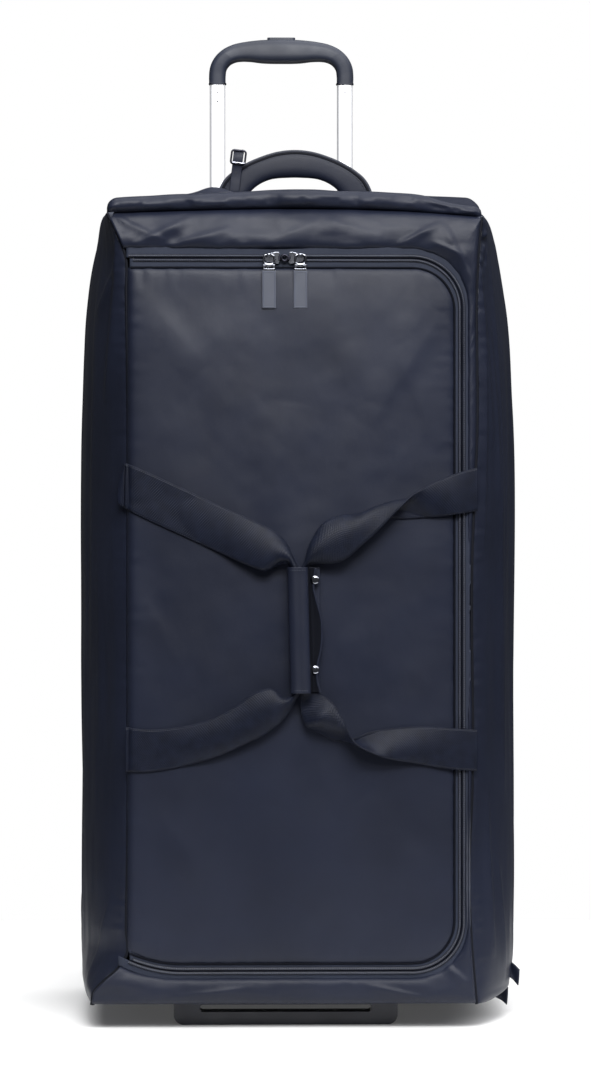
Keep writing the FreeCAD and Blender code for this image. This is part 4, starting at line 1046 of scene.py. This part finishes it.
def ribbon(name, stations, count=280):
    """Webbing whose cross-section bends from edge to edge through a middle point."""
    flat = np.array(stations, float).reshape(len(stations), 9)
    ordered = np.concatenate([flat[:, 3:6], flat[:, :3], flat[:, 6:]], axis=1)
    run = through(ordered, np.linspace(0, 1, count))
    middle, first, second = run[:, :3], run[:, 3:6], run[:, 6:]
    t = np.linspace(0, 1, 27)[:, None, None]
    bend = 2 * middle - 0.5 * (first + second)
    points = (1 - t) ** 2 * first + 2 * t * (1 - t) * bend + t ** 2 * second
    clear = door_depth(points[..., 0], points[..., 2]) - 0.3 - STRAP_THICK / 2
    points[..., 1] = np.where(points[..., 0] < DOOR_EDGES[0], np.minimum(points[..., 1], clear),
                              points[..., 1])
    first, second = points[0], points[-1]
    sheet = grid(name, points, [WEBBING])
    thicken(sheet, STRAP_THICK, inner=False, offset=0.0)
    pieces = [sheet]
    for edge in (first, second):
        steps = np.linalg.norm(np.diff(edge, axis=0), axis=1)
        places = np.concatenate([[0.0], np.cumsum(steps)])
        fine = np.linspace(0, places[-1], int(places[-1] / 0.5))
        path = np.stack([np.interp(fine, places, edge[:, k]) for k in range(3)], 1)
        swell = 1.0 + 0.2 * np.cos(2 * np.pi * fine / 2.0)
        pieces.append(sweep(name + "_edge", path, circle(STRAP_THICK * 0.54, 8), [WEBBING],
                            facing=(0.31, 0.9, 0.2), scale=np.stack([swell, swell], 1)))
    return joined(name, pieces)


WRAP_LOW, WRAP_HIGH = span("grip_wrap")
FLAP_EDGE_Z = [301, 305, 310, 319, 327, 339, 352, 366, 385, 394, 403, 413]
FLAP_EDGE_X = [17.6, 16.8, 15.2, 14.6, 15.2, 17.8, 19.0, 18.4, 13.6, 11.6, 12.0, 13.4]


def wrap_sheet(section, heights, shift):
    """A sheet from an (x, y) section per height, smoothed round its corners."""
    rows = []
    for z in heights:
        outline = through(np.array(section(z), float), np.linspace(0, 1, 90))
        outline = outline + np.array([shift(z), 0.0])
        rows.append(np.column_stack([outline, np.full(90, z)]))
    return np.array(rows)


def cut_edge(item):
    """Slightly rounded edges of a folded fabric."""
    edge = item.modifiers.new("Edges", "BEVEL")
    edge.width = 0.5 * MM
    edge.segments = 2
    edge.limit_method = "ANGLE"


def grip_wrap():
    """The sleeve round both straps, with turned hems, stitching and snaps."""
    low, high = WRAP_LOW[2], WRAP_HIGH[2]
    front, back = WRAP_LOW[1], WRAP_HIGH[1]
    heights = spread(low, high, 120, 0.5)

    def shift(z):
        return 1.4 - 2.8 * (z - low) / (high - low)

    def section(z):
        hem = 0.35 * (math.exp(-((z - high) / 5) ** 2) + math.exp(-((z - low) / 5) ** 2))
        dip = 0.5 * math.sin(math.pi * (z - low) / (high - low))
        return [(17.6 - shift(z), back), (10, back), (0, back), (-5.5, back - 0.6), (-8.6, back - 3.4),
                (-9.4, (front + back) / 2), (-8.7, front + 3.0), (-5.6, front + 0.4 - hem + dip * 0.4),
                (-1, front - hem * 0.5 + 0.3), (4.0, front + 0.4 - hem * 0.5),
                 (6.4, front + 1.6), (7.4, front + 3.6)]

    points = wrap_sheet(section, heights, shift)
    points[..., 1] += 0.12 * noise(points[..., 0] / 9, points[..., 2] / 22, 71)
    sleeve = grid("grip_sleeve", points, [WRAP])
    thicken(sleeve, 1.6, inner=False, offset=0.0)
    cut_edge(sleeve)
    threads = []
    for z in (low + 2.6, high - 2.6):
        line = points[np.argmin(np.abs(heights - z)), 40:86]
        normal = np.array([0, -1.0, 0])
        threads.append(stitches("hem_thread", line + normal * 0.95, 2.2, 1.5, 0.5, [THREAD]))
    item = joined("grip_wrap_sleeve", [sleeve, *threads])
    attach(item, "door")
    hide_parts("grip_wrap")

    def flap_section(z):
        reach = float(profile(FLAP_EDGE_Z, FLAP_EDGE_X, z)) - shift(z)
        return [(6.2, front + 2.2), (7.4, front + 3.6), (8.1, front + 5.4), (8.5, front + 7.4),
                (9.0, front + 9.2), (min(10.2, reach - 1), front + 10.4), (reach, front + 9.6)]

    heights = spread(low + 1, high - 1, 110, 0.4)
    points = wrap_sheet(flap_section, heights, shift)
    # The flap sheet takes the near-black painted shade, which stands in for the shadow in the gap between the
    # sleeve and the flap's edge.
    flap = grid("grip_flap_sheet", points, [SHADE])
    thicken(flap, 1.5, inner=False, offset=0.0)
    cut_edge(flap)
    rim = sweep("flap_rim", points[:, -1] + np.array([0.2, -0.2, 0]), circle(1.0, 8), [WRAP],
                facing=(1, 0.2, 0))
    item = joined("grip_flap_leaf", [flap, rim])
    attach(item, "wrap_flap")
    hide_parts("grip_flap")
    for z, label in ((402.0, "high"), (322.0, "low")):
        dome = [(-1.5, 0.05), (-1.4, 2.2), (-1.0, 3.3), (-0.5, 3.9), (0, 4.0), (0.2, 2.8)]
        cap = lathe("snap_cap_" + label, dome,
                    (13.2, front + 8.6, z), "y", [NICKEL], 24)
        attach(cap, "wrap_flap")
        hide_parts("snap_caps")
        cup = [(-2.2, 0.05), (-2.2, 1.3), (-1.6, 1.6), (-1.4, 3.0), (-0.4, 3.4), (0, 3.2)]
        base = lathe("snap_socket_" + label, cup,
                     (13.2, back - 1.0, z), "y", [NICKEL], 24)
        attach(base, "door")
        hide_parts("snap_sockets")


# ------------------------------------------------------------------ sliders and pulls

def plump(name, outer, inner, depth, y, materials, power=0.55, count=40, steps=120, caps=True):
    """A rounded bar between an outer and an inner line in the XZ plane."""
    at = np.linspace(0, 1, steps)
    outer = through(np.array([(x, 0, z) for x, z in outer], float), at)
    inner = through(np.array([(x, 0, z) for x, z in inner], float), at)
    depth = np.interp(at, np.linspace(0, 1, len(np.atleast_1d(depth))), np.atleast_1d(depth))
    angle = np.arange(count) * 2 * math.pi / count
    across = np.sign(np.cos(angle)) * np.abs(np.cos(angle)) ** power
    proud = np.sign(np.sin(angle)) * np.abs(np.sin(angle)) ** power
    middle, half = (outer + inner) / 2, (outer - inner) / 2
    points = (middle[:, None] + half[:, None] * across[None, :, None]
              + np.array([0, 1.0, 0]) * (proud[None, :, None] * depth[:, None, None] / 2))
    points[..., 1] += y
    item = grid(name, points, materials, ring=True, flip=True)
    return (add_caps(item, steps, count) if caps else item), outer, inner


PULL_SHIFT = {"left": -2.5, "right": 3.5}


def pulls():
    top_z = span("pull_ring_left")[1][2]
    for side, x, inward in (("left", SLIDER_X[0], 1), ("right", SLIDER_X[1], -1)):
        body = "slider_" + side
        front = FRONT - 3.6

        def plate(points):
            """Outline (inward, up) about the slider, always turning the same way."""
            return [(x + inward * a, ZIP_TOP + b) for a, b in points][::inward]

        wing = [(-6.8, 2.2), (-5.2, 3.6), (-1.0, 4.4), (3.4, 5.6), (6.4, 5.4), (7.2, 3.4), (6.2, 1.2),
                (6.2, -1.2), (7.2, -3.4), (6.4, -5.0), (3.4, -5.2), (-1.0, -4.0), (-5.2, -3.4), (-6.8, -2.0)]
        parts = [slab("plate", plate(wing), front, front - 1.3, [NICKEL], 0.5)]
        lower = plate([(-6, 3.6), (6, 4.2), (6, -4.2), (-6, -3.6)])
        parts.append(slab("under_plate", lower, FRONT + 0.9, FRONT + 0.1, [NICKEL], 0.3))
        arch = [(x + PULL_SHIFT[side] + inward * a, front - 1.0 - b, top_z - 0.8) for a, b in
                ((-3.4, 0), (-3.0, 1.6), (-1.6, 2.9), (0, 3.3), (1.6, 2.9), (3.0, 1.6), (3.4, 0))]
        path = through(np.array(arch), np.linspace(0, 1, 40))
        parts.append(sweep("bridge", path, rounded(1.3, 2.6, 0.5, 3), [NICKEL], facing=(0, -1, 0.01)))
        spot = x + inward * 10.6
        layer = front - 0.2 if inward > 0 else front - 1.7
        eyelet = [(0, 1.9), (-1.2, 1.9), (-1.4, 2.3), (-1.4, 3.0), (-1.1, 3.5), (0, 3.6), (0, 1.9)]
        parts.append(lathe("eyelet", eyelet, (spot, layer, ZIP_TOP), "y", [DARK_NICKEL], 32))
        neck = plate([(5.4, 1.9), (8.0, 1.6), (8.0, -1.6), (5.4, -1.9)])
        parts.append(slab("neck", neck, layer, layer - 1.2, [DARK_NICKEL], 0.3))
        item = joined("slider_body_" + side, parts)
        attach(item, body)
        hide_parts("slider_" + side)

        low, high = span("pull_ring_" + side)
        middle = (low[0] + high[0]) / 2 + PULL_SHIFT[side]
        ring_y = (low[1] + high[1]) / 2
        top, foot = high[2] - 0.8, low[2] + 0.8
        half = 4.6
        loop = [(0, top), (half * 0.62, top), (half * 0.95, top - 1.1), (half, top - 2.6), (half, foot + 2.6),
                (half * 0.92, foot + 1.2), (half * 0.5, foot + 0.1), (0, foot)]
        loop = loop + [(-a, b) for a, b in loop[-2:0:-1]]
        path = np.array([(middle + a, ring_y, b) for a, b in loop])
        closed = np.concatenate([path, path[:1]])
        path = through(closed, np.linspace(0, 1, 90))[:-1]
        ring = sweep("ring_wire_" + side, path, circle(0.95, 12), [NICKEL], closed=True)
        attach(ring, "ring_" + side)
        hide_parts("pull_ring_" + side)

        tab_low, tab_high = span("pull_tab_" + side)
        cx = (tab_low[0] + tab_high[0]) / 2 + PULL_SHIFT[side]
        wide = (tab_high[0] - tab_low[0]) / 2
        zt, zb = tab_high[2], tab_low[2]
        bars = []
        for a0, a1, b0, b1 in ((-5.4, 5.4, -1.0, 1.8), (-5.4, -3.3, 1.4, 4.6), (3.3, 5.4, 1.4, 4.6),
                               (-5.4, -2.0, 3.6, 5.2), (2.0, 5.4, 3.6, 5.2)):
            outline = [(cx + a0, zt + b0), (cx + a1, zt + b0), (cx + a1, zt + b1), (cx + a0, zt + b1)]
            bars.append(slab("bar", outline[::-1], ring_y + 1.3, ring_y - 1.3, [NICKEL], 0.45))
        tongue = [(cx - 2.6, zt + 5.6), (cx + 2.6, zt + 5.6), (cx + 2.2, zt + 3.2), (cx - 2.2, zt + 3.2)]
        bars.append(slab("tongue", tongue, ring_y + 1.2, ring_y - 1.4, [NICKEL], 0.5))
        item = joined("pull_clamp_metal_" + side, bars)
        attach(item, "pull_" + side)
        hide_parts("pull_clamp_" + side)

        outline = rounded(2 * wide, zt - zb, 0.8, 4) + np.array([cx, (zt + zb) / 2])
        tab = slab("tab", outline[::-1], ring_y + 1.3, ring_y - 1.3, [RUBBER], 0.5)
        rim = rounded(2 * wide - 2.6, zt - zb - 2.6, 0.6, 4) + np.array([cx, (zt + zb) / 2])
        path = np.array([(a, ring_y - 1.32, b) for a, b in rim])
        border = sweep("border", halfway(path), circle(0.34, 6), [THREAD], closed=True)
        item = joined("pull_tab_rubber_" + side, [tab, border])
        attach(item, "pull_" + side)
        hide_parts("pull_tab_" + side)


# ------------------------------------------------------------------ handles

def trolley_handle():
    """Moulded grip: crowned top, a belly under the bar, rounded corners."""
    low, high = span("trolley_grip")
    mid = (low[0] + high[0]) / 2
    foot = low[2]
    half = (high[0] - low[0]) / 2
    y = (low[1] + high[1]) / 2
    outer = [(half - 1.4, foot), (half - 1.2, foot + 8), (half - 2.2, foot + 17), (half - 6.4, foot + 26),
             (half - 14, foot + 33.6), (half - 25, foot + 39), (half - 36, foot + 41.4),
             (20, foot + 43.2), (0, foot + 43.8)]
    inner = [(half - 17.4, foot), (half - 17.5, foot + 9), (half - 18.4, foot + 14.5),
             (half - 21.6, foot + 19),
             (half - 27, foot + 21.9), (half - 33, foot + 22.8), (half - 40, foot + 22.7),
             (18, foot + 21.2), (0, foot + 20.8)]
    depth = [15.6, 17.5, 20, 22, 22.5, 23, 23.4, 23.6, 23.6, 23.6, 23.4, 23, 22.5, 22, 20, 17.5, 15.6]
    item, _, _ = plump("grip", mirrored(outer, mid), mirrored(inner, mid), depth, y, [GRIP], 0.62, 48, 220,
                       False)
    collars = []
    for side in (-1, 1):
        x = mid + side * (half - 9.5)
        ring = np.array([(x + a, y + b, foot + 0.9) for a, b in rounded(15.6, 13.6, 3.4, 6)])
        collars.append(sweep("collar", ring, circle(0.8, 8), [MOULDED], facing=(0, 0, 1), closed=True))
    made = joined("trolley_grip_moulded", [item, *collars])
    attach(made, "trolley")
    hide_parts("trolley_grip")
    for k, (x, z) in enumerate((side, drop) for side in (-1, 1) for drop in (8, 17)):
        cx = mid + x * (half - 9.5)
        head = [(0.2, 0.4), (-0.1, 0.5), (-0.16, 0.9), (-0.18, 1.5), (-0.1, 1.9), (0.1, 2.0)]
        ring = lathe("grip_rivet_%d" % k, head,
                     (cx, span("trolley_inner_tubes")[0][1], foot - z), "y", [STEEL], 24)
        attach(ring, "trolley")
        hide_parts("grip_rivets")


def push_rods():
    """One bent rod from the button down into both tubes."""
    low, high = span("push_rods")
    mid, half = (low[0] + high[0]) / 2, (high[0] - low[0]) / 2 - 2.5
    y, top, bend = (low[1] + high[1]) / 2, high[2] - 1.5, 20.0
    turn = np.radians(np.linspace(0, 90, 14))
    right = [(mid + half, y, low[2]), (mid + half, y, (low[2] + top) / 2)]
    right += [(mid + half - bend + bend * math.cos(a), y, top - bend + bend * math.sin(a)) for a in turn]
    left = [(2 * mid - x, depth, z) for x, depth, z in right[::-1]]
    round_spring = [(mid - a, y + 6.2 * math.exp(-(a / 9) ** 2), top) for a in np.linspace(-22, 22, 31)]
    rod = sweep("push_rods_bent", np.array(right + round_spring + left), circle(1.5, 14), [ROD])
    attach(rod, "button")
    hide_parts("push_rods")


def button_spring():
    """Return spring under the button."""
    low, high = span("button_spring")
    middle = (low + high) / 2
    radius, wire, coils = (high[0] - low[0]) / 2 - 0.45, 0.42, 3
    turn = np.linspace(0, 2 * math.pi * coils, 40 * coils)
    height = np.linspace(low[2] + wire, high[2] - wire - 0.1, len(turn))
    path = np.stack([middle[0] + radius * np.cos(turn), middle[1] + radius * np.sin(turn), height], 1)
    spring = sweep("button_spring_coil", path, circle(wire, 8), [STEEL], facing=(0, 0, 1))
    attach(spring, "trolley")
    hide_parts("button_spring")
    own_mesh(spring)


def carry_handle():
    low, high = span("carry_handle")
    y = (low[1] + high[1]) / 2
    foot, top = 751.2, high[2] - 0.8
    outer = [(75.5, foot), (74.6, foot + 9), (71.6, foot + 20), (66.4, foot + 28.6),
             (58, foot + 36), (46, foot + 43.5),
             (32, foot + 49.6), (17, foot + 54.2), (0, top)]
    inner = [(50, foot), (47.5, foot + 9), (42, foot + 17), (36, foot + 22.4),
             (29, foot + 26.4), (22, foot + 28.8),
             (15, foot + 29.8), (7, foot + 30.2), (0, foot + 30.4)]
    depth = [13, 14.4, 15, 15, 14.4, 13]
    item, edge, hollow = plump("pad", mirrored(outer), mirrored(inner), depth, y, [WRAP], 0.72, 44, 200)
    way = (hollow - edge) / np.linalg.norm(hollow - edge, axis=1, keepdims=True)
    parts = [item]
    for side in (-1, 1):
        line = edge + way * 3.0
        line[:, 1] = y + side * 5.4
        parts.append(sweep("piping", line, circle(1.3, 8), [SEAM_CORD], facing=(0, 1, 0)))
        line = edge + way * 5.4
        line[:, 1] = y + side * 6.7
        parts.append(stitches("stitch", line, 3.2, 2.2, 0.5, [DARK_THREAD], (0, side, 0)))
    line = edge + way * 0.9
    line[:, 1] = y
    parts.append(sweep("rim", line, rounded(11.6, 2.6, 1.1, 4), [BINDING], facing=(0, 1, 0)))
    made = joined("carry_handle_padded", parts)
    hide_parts("carry_handle", "carry_handle_core")
    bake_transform(made)
    patches = []
    for side in (-1, 1):
        x = side * 58.5
        outline = rounded(37, 27, 4, 5)
        rows = []
        for share in np.linspace(0, 1, 9):
            shrink = 0.06 * share ** 3
            rows.append(np.column_stack([x + outline[:, 0] * (1 - 0.9 * shrink),
                                         y + outline[:, 1] * (1 - shrink),
                                         np.full(len(outline), 752.0 + 1.3 * share)]))
        centre = np.array([x, y, 753.3])
        rows.append(centre + (rows[-1] - centre) * np.array([0.02, 0.02, 1.0]))
        patches.append(grid("patch", np.array(rows), [WEBBING], ring=True))
        border = rounded(33, 23, 3, 5)
        ring = np.array([(x + a, y + b, 753.5) for a, b in np.vstack([border, border[:1]])])
        patches.append(stitches("patch_thread", ring, 2.8, 1.9, 0.5, [THREAD], (0, 0, 1)))
    made = joined("handle_sewn_patches", patches)
    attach(made, "bag")
    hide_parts("handle_patches")


def id_tag():
    """Narrow strap round the handle's left leg with a hole and a dark frame buckle."""
    path = [(-58.4, 74.5, 761.0), (-58.3, 71.4, 762.0), (-58, 69.6, 766), (-57.2, 69.0, 773),
            (-56.2, 69.0, 782),
            (-55.2, 68.2, 790), (-54.4, 66.2, 797), (-53.8, 66.6, 802), (-53.5, 68.6, 805.6),
            (-53.4, 72, 806.2),
            (-53.4, 75, 803.6)]
    line = through(np.array(path, float), np.linspace(0, 1, 90))
    parts = [sweep("strap", line, rounded(9.6, 1.7, 0.7, 3), [WRAP], facing=(1, 0, 0.05))]
    parts.append(lathe("hole", [(0, 1.1), (-0.5, 1.1), (-0.6, 0.7), (-0.2, 0.05)],
                       (-56.0, 68.4, 785.5), "y", [DARK_THREAD], 16))
    made = joined("id_strap_leather", parts)
    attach(made, "id_tag")
    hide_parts("id_strap")
    turn = math.radians(-7)
    outline = rounded(13.4, 13.0, 2.4, 6)
    loop = np.array([(-53.9 + a * math.cos(turn) - b * math.sin(turn), 66.3 + 0.01 * b,
                      799.6 + a * math.sin(turn) + b * math.cos(turn)) for a, b in outline])
    frame_piece = sweep("buckle", halfway(loop), rounded(2.2, 1.9, 0.8, 3), [DARK_NICKEL], closed=True)
    bar = np.array([(-53.9 + a, 64.9, 794.2 - 0.12 * a) for a in np.linspace(-6.6, 6.6, 12)])
    keeper = sweep("bar", bar, circle(1.0, 10), [NICKEL], facing=(0, 1, 0))
    made = joined("id_buckle_frame", [frame_piece, keeper])
    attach(made, "id_tag")
    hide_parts("id_buckle")


# ------------------------------------------------------------------ CAD pieces that stay

def finish_cad():
    sides = ("_left", "_right")
    looks = (
        (BOARD, 0.6, ["base_board", "back_board"]),
        (ALUMINIUM, 0, ["trolley_outer_tubes", "trolley_inner_tubes"]),
        (MOULDED, 1.2, ["rear_kick_plate", *("wheel_housing" + side for side in sides)]),
        (MOULDED, 0.8, ["tube_bezel", "tube_socket"]), (MOULDED, 1.4, ["front_foot"]),
        (STEEL, 0, ["wheel_axles"]),
        (STEEL, 0.3, ["axle_nuts", *(name + side for name in ("lock_pin", "bearings") for side in sides)]),
        (STEEL, 0.2, ["foot_screws"]), (ROD, 0.3, ["lock_blocks"]), (GRIP, 0.6, ["release_button"]),
        (TYRE, 2.2, ["tyre" + side for side in sides]), (ROD, 0.6, ["hub" + side for side in sides]),
    )
    for surface, bevel, names in looks:
        for name in names:
            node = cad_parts[name]
            node.data.materials.clear()
            node.data.materials.append(surface)
            if bevel:
                soften(node, bevel, 3)


# ------------------------------------------------------------------ studio
FLOOR_GLOW = 0.06
WORLD_FILL = ((0.92, 0.95, 1.0, 1.0), 0.08)
WORLD_SEEN = ((1, 1, 1, 1), 1.0)


def studio():
    scene = bpy.context.scene
    scene.view_settings.view_transform = "Standard"
    camera = bpy.data.objects.new("camera", bpy.data.cameras.new("camera"))
    camera.data.lens = 130.5
    camera.data.sensor_width = 36
    camera.data.shift_y = -0.0133
    camera.location = (-0.071, -3.65, 0.45)
    camera.rotation_euler = (math.radians(90), 0, math.radians(-1.1))
    camera.data.clip_end = 60
    scene.collection.objects.link(camera)
    scene.camera = camera

    floor_surface = Surface("studio_floor", (0.86, 0.86, 0.86), 0.7)
    floor_surface.shade(floor_surface.noise("Object", 3, 2), (0.85, 0.85, 0.85), (0.87, 0.87, 0.87))
    floor_surface.shader.inputs["Emission Color"].default_value = (1, 1, 1, 1)
    floor_surface.shader.inputs["Emission Strength"].default_value = FLOOR_GLOW
    floor = lay("floor", [(-430, -520, 0), (430, -520, 0), (430, 800, 0), (-430, 800, 0)],
                [(0, 1, 2, 3)], [floor_surface.item])

    world = bpy.data.worlds.new("studio")
    world.use_nodes = True
    scene.world = world
    tree = world.node_tree
    tree.nodes.clear()
    kinds = ("OutputWorld", "MixShader", "LightPath")
    output, mix, path = (tree.nodes.new("ShaderNode" + kind) for kind in kinds)
    tree.links.new(path.outputs["Is Camera Ray"], mix.inputs["Fac"])
    for socket, (colour, strength) in enumerate((WORLD_FILL, WORLD_SEEN), 1):
        background = tree.nodes.new("ShaderNodeBackground")
        background.inputs["Color"].default_value = colour
        background.inputs["Strength"].default_value = strength
        tree.links.new(background.outputs[0], mix.inputs[socket])
    tree.links.new(mix.outputs[0], output.inputs["Surface"])

    def area(name, place, target, size, power):
        data = bpy.data.lights.new(name, "AREA")
        data.shape = "RECTANGLE"
        data.size, data.size_y = size
        data.energy = power
        item = bpy.data.objects.new(name, data)
        item.location = place
        way = np.array(target, float) - np.array(place, float)
        away = math.hypot(way[0], way[1])
        item.rotation_euler = (math.atan2(away, -way[2]), 0, math.atan2(way[1], way[0]) - math.pi / 2)
        scene.collection.objects.link(item)

    sun = bpy.data.lights.new("overhead", "SUN")
    sun.energy = 4.6
    sun.angle = math.radians(96)
    item = bpy.data.objects.new("overhead", sun)
    item.rotation_euler = (math.radians(14), math.radians(16), 0)
    scene.collection.objects.link(item)
    area("top_front", (0.06, -1.2, 1.35), (0.0, -0.1, 0.62), (0.9, 0.3), 20)
    area("tube_front", (0.0, -1.5, 1.1), (0.0, 0.1, 0.95), (0.3, 0.2), 4)


def seam_shade_cords(left, right):
    """Near-black cords in the seams between the front and the side panels: bound seams whose dark colour is
    also painted shade of the seam grooves.
    """
    for name, edge in (("seam_cord_shade_left", left), ("seam_cord_shade_right", right)):
        path = edge + np.array([0.0, -1.2, 0.0])
        cord = sweep(name, path, circle(1.5, 8), [SEAM_CORD], facing=(0, 1, 0.01))
        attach(cord, "bag")


def shell():
    left = side_panel(-1)
    right = side_panel(1)
    seam_shade_cords(left[:, 0], right[:, 0])
    seam = front_band()
    door_fabric()
    top_fabric(left[-1], right[-1], seam[seam[:, 2] > 700])
    back_fabric()
    bottom_fabric(left[0], right[0])


shell()
zip_tapes()
zip_coils()
straps()
grip_wrap()
pulls()
trolley_handle()
push_rods()
button_spring()
carry_handle()
id_tag()
finish_cad()
studio()
